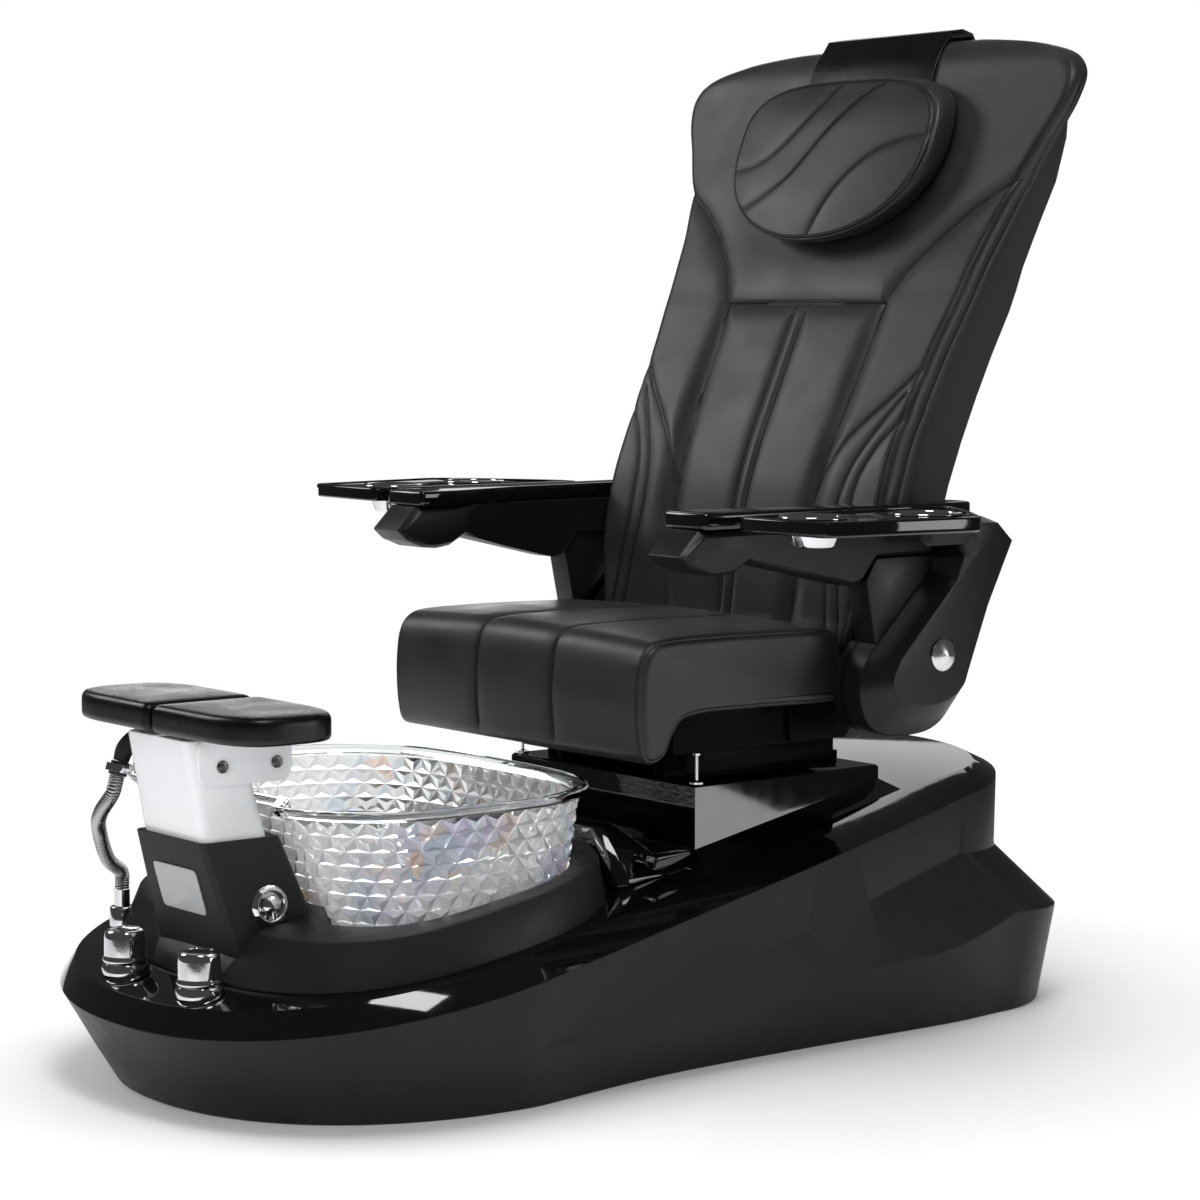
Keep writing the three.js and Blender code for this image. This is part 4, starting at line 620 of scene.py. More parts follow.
SATIN = Moulded("satin_shell", "shell_satin", (0.0140, 0.0142, 0.0148), 0.36, ripple=0.03, grain=0.012, shine=0.16)
GLOSS = Moulded("gloss_black", "deck_gloss", (0.002, 0.002, 0.0022), 0.06, haze=0.025, ripple=0.04, coat=0.5)
MATT = Moulded("matt_black", "matt_black", (0.0045, 0.0045, 0.005), 0.46, grain=0.05, shine=0.26)
TEXTURED = Moulded(
    "textured_black", "matt_black", (0.0055, 0.0055, 0.006), 0.38, grain=0.07, grain_scale=520, shine=0.34)
STEEL = Moulded("frame_paint", "frame_black", (0.0015, 0.0015, 0.0017), 0.38, grain=0.03, grain_scale=700, shine=0.06)
WHITE = Moulded("white_gloss", "white_gloss", (0.87, 0.88, 0.885), 0.16, drift=0.02, haze=0.04, ripple=0.03)
PANEL = Moulded("panel_grey", "panel_grey", (0.42, 0.43, 0.44), 0.30, drift=0.05)
HIDE = Leather("black_leather", "leather_black", (0.0135, 0.0135, 0.014), 0.36, grain=0.05, crease=0.08, fuzz=0.03)
PAD_HIDE = Leather(
    "pad_leather", "leather_black", (0.0016, 0.0016, 0.0018), 0.28, grain=0.03, crease=0.05, fuzz=0.0, shine=0.42)
# Black thread, darker and duller than the leather: its stitches also paint the shade of the stitch holes, and its
# cords paint the shade of the seam creases.
THREAD_AND_CREASE_SHADE = Moulded("black_thread_and_crease_shade", "leather_black", (0.003, 0.003, 0.003), 0.7, grain=0.02, shine=0.05)
CHROME = Metal("chrome_plate", "chrome", (0.80, 0.81, 0.82), 0.06)
BRUSHED = Metal("brushed_cap", "chrome", (0.80, 0.80, 0.81), 0.24, marks=0.02)
STAINLESS = Metal("hose_steel", "chrome", (0.46, 0.46, 0.47), 0.22)
BOLT_STEEL = Metal("bolt_steel", "chrome", (0.14, 0.14, 0.145), 0.22)
GLASS = Crystal("clear_glass", "bowl_glass", (0.95, 0.98, 0.97), 0.01)
# The pastel colours are painted sheen of the iridescent skin.
FACETS = Crystal("iridescent_glass", "bowl_glass", (1.0, 1.0, 1.0), 0.03, clear=0.64, sheen_tints=(
    (0.95, 0.62, 0.48), (0.95, 0.90, 0.86), (0.70, 0.62, 0.95), (0.92, 0.96, 0.98), (0.55, 0.70, 0.96),
    (0.95, 0.84, 0.66)))


def install(piece: Piece, finish: Finish, node: str, added: bool = False) -> Piece:
    """Dresses a piece and hangs it on its node's body, as a rule in that node's place.

    Args:
        piece: The finished mesh, in place.
        finish: Its finish.
        node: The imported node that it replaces.
        added: Whether the piece replaces nothing and only rides with the node.

    Returns:
        The same piece.
    """
    piece.data.materials.clear()
    piece.data.materials.append(finish.material())
    if not added:
        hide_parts(node)
    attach(piece, BODY_OF[node])
    LOG.info("%s rides on %s, %d faces", piece.name, BODY_OF[node], len(piece.data.polygons))
    return piece


def refine(node: str, finish: Finish, bevel: float = 1.0, angle: float = 28) -> Piece:
    """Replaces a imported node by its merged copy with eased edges."""
    return install(Bench.eased(Bench.copied(node, node + "_shape"), bevel, angle), finish, node)


def lathe(name: str, node: str, finish: Finish, profile: Sequence[tuple[float, float]], place: Sequence[float],
          axis: Sequence[float] = (0, 0, 1), sides: int = 64, angle: float = 30) -> Piece:
    """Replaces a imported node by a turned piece. See Bench.turned for the profile."""
    return install(Bench.shaded(Bench.turned(name, profile, place, axis, sides), angle), finish, node)


# ---------------------------------------------------------------- base


class Stretch(Enum):
    """Points on each stretch of half an outline of the base."""

    NOSE = 26
    SIDE = 26
    TAIL = 20


@dataclass(frozen=True)
class Outline:
    """A closed line round the base. Insets are measured in from the belt, ends from its tip and rear."""

    nose_end: float
    tail_end: float
    power: float
    nose_reach: float
    nose_inset: float
    side: tuple[tuple[float, ...], ...]
    tail_reach: float
    tail_inset: float
    heights: tuple[float, float, float] = (0, 0, 0)

    def points(self, half_belt: float) -> Points:
        """The outline's points, from the tip along the near side and back."""
        nose_centre = station(self.nose_end + self.nose_reach)
        tail_centre = -NOSE - self.tail_end - self.tail_reach
        nose = super_quarter(half_belt - self.nose_inset, self.nose_reach, self.power, Stretch.NOSE.value)
        front = np.stack([nose[:, 0], nose_centre - nose[:, 1], np.full(len(nose), self.heights[0])], axis=1)
        knots = [
            (half_belt - row[1], nose_centre + (tail_centre - nose_centre) * row[0],
             row[2] if len(row) > 2 else self.heights[0])
            for row in self.side
        ]
        tail = super_quarter(half_belt - self.tail_inset, self.tail_reach, self.power, Stretch.TAIL.value)
        rise = self.heights[2] + (self.heights[1] - self.heights[2]) * np.linspace(0, 1, len(tail))
        rear = np.stack([tail[:, 0], tail_centre + tail[:, 1], rise], axis=1)[::-1]
        middle = flowing([front[-1], *knots, rear[0]], Stretch.SIDE.value)[1:-1]
        half = np.vstack([front, middle, rear])
        return np.vstack([half, mirrored(half[1:-1][::-1])])


@dataclass
class Base:
    """The satin shell, its glossy deck and the glossy mouldings on the deck."""

    width: float = 802
    belt_front: float = 111
    belt_slope: float = 0.18
    deck_front: float = 141
    deck_slope: float = 0.17
    ground: Outline = Outline(58, 6, 2.2, 368, 76, ((0.26, 108), (0.55, 112), (0.89, 104)), 200, 113)
    belt: Outline = Outline(
        0, 122, 2.25, 378, 0, ((0.12, 9), (0.34, 26), (0.57, 43), (0.72, 58), (0.93, 83)), 182, 93)
    deck: Outline = Outline(18, 148, 2.3, 353, 32, ((0.16, 52), (0.39, 83), (0.59, 125), (0.8, 149)), 126, 148)
    ledge_outer: Outline = Outline(
        30, 0, 2.3, 372, 43, ((0.07, 50, 82), (0.31, 54, 98), (0.63, 58, 109), (0.84, 64, 118)), 204, 83,
        (80, 150, 131))
    ledge_inner: Outline = Outline(
        30, 114, 2.3, 372, 43, ((0.08, 53, 92), (0.35, 60, 134), (0.7, 74, 191), (0.88, 93, 220)), 190, 104,
        (88, 240, 232))

    def belt_height(self, y: Points | float) -> Points | float:
        """Height of the belt, where the deck meets the shell."""
        return self.belt_front + self.belt_slope * (y - NOSE)

    def deck_height(self, y: Points | float) -> Points | float:
        """Height of the deck's sloping top."""
        return self.deck_front + self.deck_slope * (y - NOSE)

    def line(self, outline: Outline) -> Points:
        """The outline's points on this base."""
        return outline.points(self.width / 2)

    def at_height(self, line: Points, height: Callable[[Points], Points]) -> Points:
        """The line lifted to the height that belongs to each Y."""
        lifted = line.copy()
        lifted[:, 2] = height(line[:, 1])
        return lifted

    def ledge(self, outline: Outline, share: float) -> Points:
        """A ledge line that lies in the wall round the nose and steps out along the sides."""
        free = self.line(outline)
        wall = self.line(self.ground) * (1 - share)
        wall += self.at_height(self.line(self.belt), self.belt_height) * share
        last = Stretch.NOSE.value
        index = np.arange(len(free))
        on_nose = (index <= last) | (index >= len(free) - last)
        free[on_nose] = wall[on_nose]
        return free

    def shell(self) -> Piece:
        """The open tub with its wedge-shaped ledges and folded-in lip."""
        belt = self.at_height(self.line(self.belt), self.belt_height) - (0, 0, 0.3)
        ground = self.line(self.ground)
        outer = self.ledge(self.ledge_outer, 0.42)
        inner = self.ledge(self.ledge_inner, 0.46)
        toe = ground.copy()
        toe[:, :2] *= 0.992
        toe[:, 2] = 0
        ground[:, 2] = 3
        lip = belt * (0.965, 0.975, 1)
        inside = self.line(self.ground) * (0.93, 0.955, 1) + (0, 0, 12)
        piece = Bench.skin("base_shell_moulding", np.stack([toe, ground, outer, inner, belt, lip, inside]))
        Bench.eased(piece, 1.6, 24, 2)
        return install(piece, SATIN, "base_shell")

    def deck_top(self) -> Piece:
        """The glossy slab from the belt up a broad chamfer to the sloping top."""
        belt = self.at_height(self.line(self.belt), self.belt_height)
        top = self.at_height(self.line(self.deck), self.deck_height)
        piece = Bench.skin("base_deck_moulding", np.stack([belt, top]))
        Bench.cut(piece, GlassBowl().passage("deck_cutter", 10, 60, 376))
        Bench.eased(piece, 1.4, 20, 3)
        return install(piece, GLOSS, "base_deck")

    def build(self) -> None:
        """Builds the base's own mouldings and dresses what stays as it was packed."""
        self.shell()
        self.deck_top()
        for node, finish, bevel, angle in (
            ("drain_housing", GLOSS, 1.6, 28), ("plinth", GLOSS, 1.4, 20), ("rail_right", STEEL, 0.5, 28),
            ("rail_left", STEEL, 0.5, 28), ("power_inlet", MATT, 0.8, 28), ("jet_pump", STEEL, 1.0, 28),
            ("drain_lever", GLOSS, 1.2, 28), ("drain_strainer", CHROME, 0.5, 28),
        ):
            refine(node, finish, bevel, angle)
        pin = [(0, 0), (10, 0), (10, 2.4), (9.4, 3), (4, 4), (2.2, 5), (2.2, 38.6), (5.6, 39), (6, 41.4), (5.4, 42),
               (0, 42)]
        for word, side in SIDES.items():
            lathe("stop_pin_turned_" + word, "stop_pin_" + word, CHROME, pin, (side * 197, station(790), 364.3),
                  sides=32)


@dataclass
class GlassBowl:
    """The faceted glass bowl, which sits in the satin collar."""

    nose_to_front: float = 133
    depth: float = 473
    half_width: float = 303
    rim_height: float = 391
    floor_height: float = 122
    wall: float = 7
    rim_width: float = 12
    rim_thickness: float = 15
    notch: float = 56
    columns: int = 56
    rows: int = 8
    facet: float = 19.6
    relief: float = 4
    fine: int = 4

    def line(self, z: float, grow: float = 0, rounded: bool = True, steps: int = 60) -> Points:
        """The bowl's outside at a height, grown by a distance."""
        drop = (self.rim_height - z) / 150
        round_off = max(0.0, 1 - (z - self.floor_height) / 60) if rounded else 0.0
        half = self.half_width - 24 * drop - 26 * round_off + grow
        start = station(self.nose_to_front)
        front = start + 74 * drop + 14 * round_off - grow
        rear = start + self.depth - 22 * drop - 26 * round_off + grow
        widest = front + (rear - front) * 0.45
        whole = egg(half, (front, widest, rear), (3, 3.1), (steps, steps),
                    lambda x: self.notch * (1 - smooth(np.abs(x), 96, 175)))
        return np.column_stack([whole, np.full(len(whole), z)])

    def ring(self, z: float, grow: float, count: int, phase: float = 0) -> Points:
        """The line at a height as evenly spaced points."""
        return evenly(self.line(z, grow), count, phase=phase)

    def passage(self, name: str, grow: float, low: float, high: float) -> Piece:
        """A solid the shape of the bowl's outside, to cut its seat with."""
        rings = [self.line(z, grow, False, 40) for z in (low, (low + high) / 2, high)]
        return Bench.skin(name, np.stack(rings))

    def wall_piece(self) -> Piece:
        """The whole bowl: pyramids in rows outside, a rolled rim and a plain wall inside."""
        under = self.rim_height - self.rim_thickness
        lowest = under - self.rows * self.facet
        coarse, fine = self.columns, self.columns * self.fine
        rim = [
            (under + 2, self.rim_width * 0.75), (under + 5, self.rim_width - 0.6), (under + 8, self.rim_width),
            (self.rim_height - 3, self.rim_width), (self.rim_height - 0.8, self.rim_width - 1.2),
            (self.rim_height, self.rim_width - 3.5), (self.rim_height, self.rim_width - 9),
            (self.rim_height - 0.9, -self.wall + 4.5), (self.rim_height - 3.5, -self.wall + 1.5),
            (self.rim_height - 8, -self.wall + 0.3), (self.floor_height + 90, -self.wall),
            (self.floor_height + 50, -self.wall), (self.floor_height + 30, -self.wall - 2),
            (self.floor_height + 18, -self.wall - 8), (self.floor_height + 12, -self.wall - 18),
            (self.floor_height + 10, -self.wall - 32),
        ]
        facet_rings = [
            self.ring(lowest + row * self.facet, 0, coarse, (row % 2) / 2) for row in range(self.rows + 1)
        ]
        last = facet_rings[-1]
        straight = np.concatenate([
            last[i] + (last[(i + 1) % coarse] - last[i]) * (np.arange(self.fine) / self.fine)[:, None]
            for i in range(coarse)
        ])
        smooth_rings = [straight] + [self.ring(z, grow, fine) for z, grow in rim]
        foot = [self.ring(self.floor_height, -14, coarse), self.ring(self.floor_height + 12, 0, coarse)]
        points: list[Points] = []
        faces: list[list[int]] = []

        def put(ring: Points) -> int:
            """Adds a ring's points and returns the index of its first."""
            start = sum(len(r) for r in points)
            points.append(ring)
            return start

        def band(low: int, high: int, count: int) -> None:
            """Quads between two rings of as many points."""
            faces.extend([low + i, low + (i + 1) % count, high + (i + 1) % count, high + i] for i in range(count))

        starts = [put(ring) for ring in foot + facet_rings[:-1]]
        starts.append(put(smooth_rings[0]))
        band(starts[0], starts[1], coarse)
        band(starts[1], starts[2], coarse)
        for row in range(self.rows):
            top = row == self.rows - 1
            self.pyramids(points, faces, put, starts[2 + row], starts[3 + row], row % 2 == 1, top)
        low = starts[-1]
        for ring in smooth_rings[1:]:
            high = put(ring)
            band(low, high, fine)
            low = high
        faces.append(list(range(low, low + fine)))
        faces.append(list(range(coarse))[::-1])
        return Bench.from_faces("glass_bowl_cast", np.concatenate(points), faces)

    def pyramids(self, points: list[Points], faces: list[list[int]], put: Callable[[Points], int],
                 low: int, high: int, shifted: bool, top: bool) -> None:
        """One row of alternate pyramids between two rings, of which the top one may be the finer."""
        cloud = np.concatenate(points)
        count, fine = self.columns, self.fine if top else 1
        for i in range(count):
            nxt = (i + 1) % count
            a, b = low + i, low + nxt
            c, d = high + i * fine, high + nxt * fine
            between = [high + i * fine + k for k in range(1, fine)]
            trios = [([a, b], d), ([a, d], c)] if shifted else [([a, b], c), ([b, d], c)]
            for (first, second), third in trios:
                corners = cloud[[first, second, third]]
                outward = np.cross(corners[1] - corners[0], corners[2] - corners[0])
                tip = corners.mean(axis=0) + outward / np.linalg.norm(outward) * self.relief
                apex = put(tip[None, :])
                for start, end in ((first, second), (second, third), (third, first)):
                    middle = between if {start, end} == {c, d} and fine > 1 else []
                    run = middle[::-1] if start == d else middle
                    faces.append([start, *run, end, apex])

    def build(self) -> None:
        """Builds the bowl: clear glass, with the iridescent finish on its facets and floor."""
        piece = self.wall_piece()
        Bench.shaded(piece, 14)
        install(piece, GLASS, "glass_bowl")
        piece.data.materials.append(FACETS.material())
        for face in piece.data.polygons:
            face.material_index = int(len(face.vertices) < 4 or face.center.z < (self.floor_height + 9) * MM)


@dataclass
class Collar:
    """Satin flange from the deck up to the bowl."""

    height: float = 57
    top_width: float = 42
    flare: float = 21
    front_width: float = 17
    foot_width: float = 57

    def line(self, flare: float, rise: float, inset: float = 0) -> Points:
        """The outline at a rise over the deck, where a flare of 1 is its foot and 0 its top."""
        bowl, base = GlassBowl(), Base()
        start = station(bowl.nose_to_front)
        middle = start + bowl.depth / 2
        seat = bowl.line(bowl.rim_height - 140)
        half = seat[:, 0].max() + self.top_width + self.flare * flare - inset
        ahead = self.front_width + (self.foot_width - self.front_width) * flare
        front = seat[:, 1].min() - bowl.notch - ahead + inset
        rear = seat[:, 1].max() + self.top_width + self.flare * flare - inset
        power = 3 + (2.6 - 3) * flare
        whole = egg(half, (front, middle, rear), (power, power), (40, 30))
        return np.column_stack([whole, base.deck_height(whole[:, 1]) + rise])

    def build(self) -> None:
        """Builds the flange, cut for the bowl, the column and the drain housing."""
        rings = np.stack([
            self.line(1, 0.4), self.line(1, 4), self.line(0.04, self.height - 2), self.line(0, self.height, 3),
        ])
        piece = Bench.skin("bowl_collar_flange", rings)
        bowl = GlassBowl()
        column = FrontColumn()
        cutters = [
            bowl.passage("collar_cutter", bowl.relief + 3.3, 100, 376),
            column.block("column_cutter", 0.3),
        ]
        housing_low, housing_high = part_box("drain_housing")
        Bench.clear()
        bpy.ops.mesh.primitive_cube_add(size=1)
        block = bpy.context.object
        low = np.array(housing_low) - (0.001, 0.0003, 0.05)
        high = np.array(housing_high) + (0.001, 0.2, 0.05)
        block.data.transform(Matrix.Translation(Vector((low + high) / 2)) @ Matrix.Diagonal((*(high - low), 1)))
        cutters.append(block)
        outlet = HandShower()
        cutters.append(Bench.turned("outlet_cutter", [(17.4, 100), (17.4, 420)], (outlet.x, outlet.y, 0), sides=32))
        Bench.cut(piece, *cutters)
        Bench.eased(piece, 1.0, 26, 2)
        install(piece, SATIN, "bowl_collar")


# ---------------------------------------------------------------- front column and footrest


@dataclass
class FrontColumn:
    """The leaning matt column with its touch panel and selector, and the taps beside it."""

    nose_to_front: float = 83
    top_half: float = 83
    foot_half: float = 99
    depth: float = 118
    top: float = 338
    front_lean: float = 0.283
    rear_lean: float = 0.4
    control_height: float = 252
    control_station: float = 176

    def front(self, z: float) -> float:
        """Y of the leaning front at a height."""
        return station(self.nose_to_front) + self.front_lean * (self.top - z)

    def half(self, z: float) -> float:
        """Half width at a height."""
        foot = Base().deck_height(self.front(0))
        return self.top_half + (self.foot_half - self.top_half) * (self.top - z) / (self.top - foot)

    def block(self, name: str, grow: float) -> Piece:
        """The column as a plain solid, to cut its neighbours with."""
        rings = []
        for z in (60, self.top + 60):
            half = self.half(z) + grow
            front = self.front(z) - grow
            rear = station(self.nose_to_front) + self.depth + self.rear_lean * (self.top - z) + grow
            rings.append([
                (-half + 7, front, z), (half - 7, front, z), (half, front + 7, z), (half, rear - 7, z),
                (half - 7, rear, z), (-half + 7, rear, z), (-half, rear - 7, z), (-half, front + 7, z),
            ])
        return Bench.skin(name, np.array(rings))

    def side_axis(self) -> Vector:
        """The outward direction of the near side face."""
        foot = Base().deck_height(self.front(0))
        return Vector((1, 0, (self.foot_half - self.top_half) / (self.top - foot))).normalized()

    def control_place(self) -> tuple[float, float, float]:
        """The middle of the selector on the side face."""
        return (self.half(self.control_height), station(self.control_station), self.control_height)

    def taps(self) -> None:
        """The two tapered tap knobs and the flared seats under them."""
        base = Base()
        y = station(73)
        z = base.deck_height(y) - 3.5
        for word, side in SIDES.items():
            place = (side * 92, y, z)
            seat = Bench.turned(
                "knob_seat_turned_" + word,
                [(0, 0), (31, 0), (31, 8), (30.4, 9.6), (28.6, 13), (27.6, 14), (7, 14), (7, 40), (0, 40)], place)
            cover = Bench.skin("seat_trim", np.array([
                [(s * 60 + place[0], y + t * 60, base.deck_height(y + t * 60) + 0.3 + rise) for s, t in
                 ((-1, -1), (1, -1), (1, 1), (-1, 1))] for rise in (-60, 0)]))
            Bench.cut(seat, cover)
            install(Bench.shaded(seat), CHROME, "knob_seat_" + word)
            lathe("tap_knob_turned_" + word, "knob_" + word, CHROME, [
                (0, 40.4), (7.2, 40.4), (7.2, 15), (28.6, 15), (29.3, 15.8), (29.5, 18), (29, 20.5), (27.6, 22),
                (27.4, 24), (26.9, 46), (26.4, 50), (25.2, 53.6), (23, 56), (20, 57.2), (19, 57), (18.4, 56.2),
                (17, 56), (0, 56.4)], place, angle=40)

    def selector(self) -> None:
        """The chrome bezel ring and the domed selector with its lever."""
        axis, place = self.side_axis(), self.control_place()
        lathe("control_bezel_turned", "control_bezel", CHROME, [
            (7.3, 3), (17, 3), (17.6, 6.6), (18.6, 7.7), (20, 8.2), (22, 8), (25.6, 5.4), (26.8, 4), (27, 2.4),
            (27, 0.5), (16.5, 0.5), (16.5, -12), (7.3, -12)], place, axis, angle=40)
        dome = Bench.turned("selector_dome", [
            (0, -8), (7, -8), (7, 4), (13, 4), (13.4, 5), (13.2, 8.6), (12, 10.6), (9, 12.8), (5, 13.8), (0, 14)],
            place, axis)
        lever = Bench.eased(Bench.copied("control_knob", "selector_lever"), 0.6)
        piece = Bench.joined("control_knob_shape", [Bench.shaded(dome, 40), lever])
        install(piece, CHROME, "control_knob")

    def build(self) -> None:
        """Builds the column's pieces."""
        refine("column_cover", MATT, 1.6, 24)
        refine("touch_panel", PANEL, 0.5, 24)
        self.taps()
        self.selector()


@dataclass
class Footrest:
    """The white post and bracket, the bolts and the two soft pads."""

    pad_top: float = 508
    thickness: float = 35
    reach: float = 222
    gap: float = 11
    depth: float = 162
    nose_to_pads: float = 57
    shoulder: float = 95

    def outline(self) -> Points:
        """The near pad's outline about its own middle line."""
        end = super_quarter(self.reach - self.shoulder, self.depth / 2, 3.2, 34) + (self.shoulder, 0)
        inner = self.gap / 2
        corner = 9
        arc = np.linspace(0, math.pi / 2, 7)
        low = np.stack(
            [inner + corner - corner * np.cos(arc), -self.depth / 2 + corner - corner * np.sin(arc)], axis=1)
        top = low[::-1] * (1, -1)
        straight = np.linspace(low[-1], end[0] * (1, -1), 14)[1:-1]
        back = straight[::-1] * (1, -1)
        edge = np.linspace(top[-1], low[0], 14)[1:-1]
        return np.vstack([low, straight, end * (1, -1), end[::-1][1:], back, top, edge])

    def pad(self, word: str) -> None:
        """One pad: straight inner edge, blunt outer end, a tight edge roll and a faint crown."""
        side = SIDES[word]
        outline = self.outline()
        middle = np.array([(self.gap / 2 + self.reach) / 2, 0.0])
        y = station(self.nose_to_pads) + self.depth / 2
        bottom = self.pad_top - self.thickness
        layers = [(7, 0), (3.6, 0.6), (1.4, 2), (0.2, 5), (0, 9), (0, 18), (0, 24), (0.5, 28), (2.0, 31.4),
                  (4.6, 34), (8, 35.2), (13, 35.6), (22, 36), (36, 36), (55, 36), (72, 36)]
        rings = []
        for inset, rise in layers:
            half_sizes = np.array([(self.reach - self.gap / 2) / 2, self.depth / 2])
            scale = 1 - inset / half_sizes
            flat = middle + (outline - middle) * np.maximum(scale, 0.02)
            rings.append(np.column_stack([side * flat[:, 0], y + flat[:, 1], np.full(len(flat), bottom + rise)]))
        piece = Bench.skin("foot_pad_upholstered_" + word, np.array(rings))
        Bench.shaded(piece, 50)
        install(piece, PAD_HIDE, "foot_pad_" + word)

    def build(self) -> None:
        """Builds the footrest's pieces."""
        refine("footrest_post", WHITE, 1.2, 24)
        refine("footrest_bracket", WHITE, 0.8, 24)
        for node in ("bracket_bolt_front", "bracket_bolt_rear"):
            low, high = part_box(node)
            middle = (low + high) / 2 / MM
            reach = (high.x - low.x) / 2 / MM
            head = [(0, -reach), (3, -reach + 0.2), (3.6, -reach + 1.4), (6.6, -reach + 1.6), (8, -reach + 3),
                    (8, -reach + 5), (5, -reach + 5)]
            profile = head + [(r, -z) for r, z in reversed(head)]
            lathe(node + "_turned", node, BOLT_STEEL, profile, middle, (1, 0, 0), 32)
        refine("shower_holder", CHROME, 0.5)
        for word in SIDES:
            self.pad(word)


@dataclass
class HandShower:
    """The hose outlet on the deck, the wound steel hose and the hand shower in its clip."""

    x: float = -270
    nose_to: float = 170
    radius: float = 10
    ribs: int = 84
    outlet_height: float = 30
    nut: tuple[float, float, float] = (-112, -668, 404)

    @property
    def y(self) -> float:
        """Y of the outlet."""
        return station(self.nose_to)

    def nut_axis(self) -> Points:
        """The direction in which the shower leaves its nut."""
        return unit(np.array([0, 0.3, 1.0]))

    def route(self) -> Points:
        """The hose's centre line, as it was packed."""
        start = np.array([self.x, self.y, Base().deck_height(self.y) + self.outlet_height + 24.3])
        end = np.array(self.nut) - 0.3 * self.nut_axis()
        knots = [
            start, start + (0, 0, 2 * self.radius), (-252, station(140), 268), (-212, station(104), 318),
            (-158, station(77), 350), end - 2 * self.radius * self.nut_axis(), end,
        ]
        return flowing(knots, 240)

    def tube(self, name: str, path: Points, size: Callable[[float], float], sides: int) -> Piece:
        """A tube along a path whose radius follows the share of its length."""
        along = unit(np.gradient(path, axis=0))
        across = unit(np.cross(along, (0.0, 1.0, 0.15)))
        other = np.cross(along, across)
        angle = 2 * math.pi * np.arange(sides) / sides
        radius = np.array([size(k / (len(path) - 1)) for k in range(len(path))])
        rings = path[:, None] + radius[:, None, None] * (
            np.cos(angle)[None, :, None] * across[:, None] + np.sin(angle)[None, :, None] * other[:, None])
        return Bench.skin(name, rings)

    def hose(self) -> None:
        """The hose, wound from steel strip: rounded ribs with narrow grooves between them."""
        path = evenly(self.route(), self.ribs * 5 + 1, closed=False)

        def size(share: float) -> float:
            """Radius at a share of the length."""
            phase = (share * self.ribs) % 1
            return self.radius - 1.3 * (1 - abs(math.sin(math.pi * phase)) ** 0.5)

        piece = self.tube("shower_hose_wound", path, size, 20)
        Bench.shaded(piece, 60)
        install(piece, STAINLESS, "shower_hose")
        [tuple(p * MM) for p in evenly(path, 40, closed=False)]

    def grip(self) -> None:
        """The shower's nut, grip and head."""
        nut = np.array(self.nut)
        axis = self.nut_axis()
        knots = np.array([nut + 18.5 * axis, nut + (0, 12, 33), nut + (0, 27, 44), nut + (0, 45, 46),
                          nut + (0, 65, 44), nut + (0, 77, 41), nut + (0, 82, 40)])
        path = flowing(knots, 60)
        widths = flowing([(10, 0), (12, 0), (13.5, 0), (14, 0), (16, 0), (18, 0), (16, 0)], 60)[:, 0]
        body = self.tube("shower_grip", path, lambda share: float(widths[round(share * 60)]), 36)
        collar = Bench.turned("shower_nut", [
            (0, 0), (11.4, 0), (12, 0.6), (12, 7), (11.4, 7.6), (12, 8.2), (12, 17.4), (11.4, 18), (0, 18)],
            nut, axis, 36)
        piece = Bench.joined("hand_shower_shape", [Bench.shaded(body, 50), Bench.shaded(collar, 40)])
        install(piece, MATT, "hand_shower")

    def build(self) -> None:
        """Builds the outlet, the hose and the shower. The hose comes first."""
        self.hose()
        low = float(Base().deck_height(self.y))
        lathe("hose_outlet_turned", "hose_outlet", CHROME, [
            (0, low + 3.5), (17, low + 3.5), (17, low + 26), (16, low + 29), (14.6, low + 30), (10.5, low + 30),
            (10.5, low + 53.4), (9.9, low + 54), (0, low + 54)], (self.x, self.y, 0), sides=40, angle=40)
        self.grip()


# ---------------------------------------------------------------- sewn pieces


@dataclass(frozen=True)
class Seam:
    """A sewn line on a cushion's face: its knots, how deep it draws in and how it is stitched."""

    knots: tuple[tuple[float, float], ...]
    depth: float = 4
    reach: float = 16
    rows: tuple[float, ...] = (-3.2, 3.2)
    steps: int = 60

    def line(self, side: int = 1) -> Points:
        """The seam's curve on one side of the chair."""
        curve = flowing(self.knots, self.steps)
        return curve if side > 0 else mirrored(curve)

    def beside(self, offset: float, side: int = 1) -> Points:
        """The curve moved sideways by an offset."""
        line = self.line(side)
        along = unit(np.gradient(line, axis=0))
        return line + np.stack([along[:, 1], -along[:, 0]], axis=1) * offset * side

    def sink(self, spots: Points, side: int = 1) -> Points:
        """How far the seam draws each spot in: a soft valley with a sharp fold at its bottom."""
        far = far_from(self.line(side), spots)
        valley = self.depth * np.exp(-((far / self.reach) ** 1.4))
        fold = 0.35 * self.depth * np.exp(-((far / 1.8) ** 2))
        return valley + fold


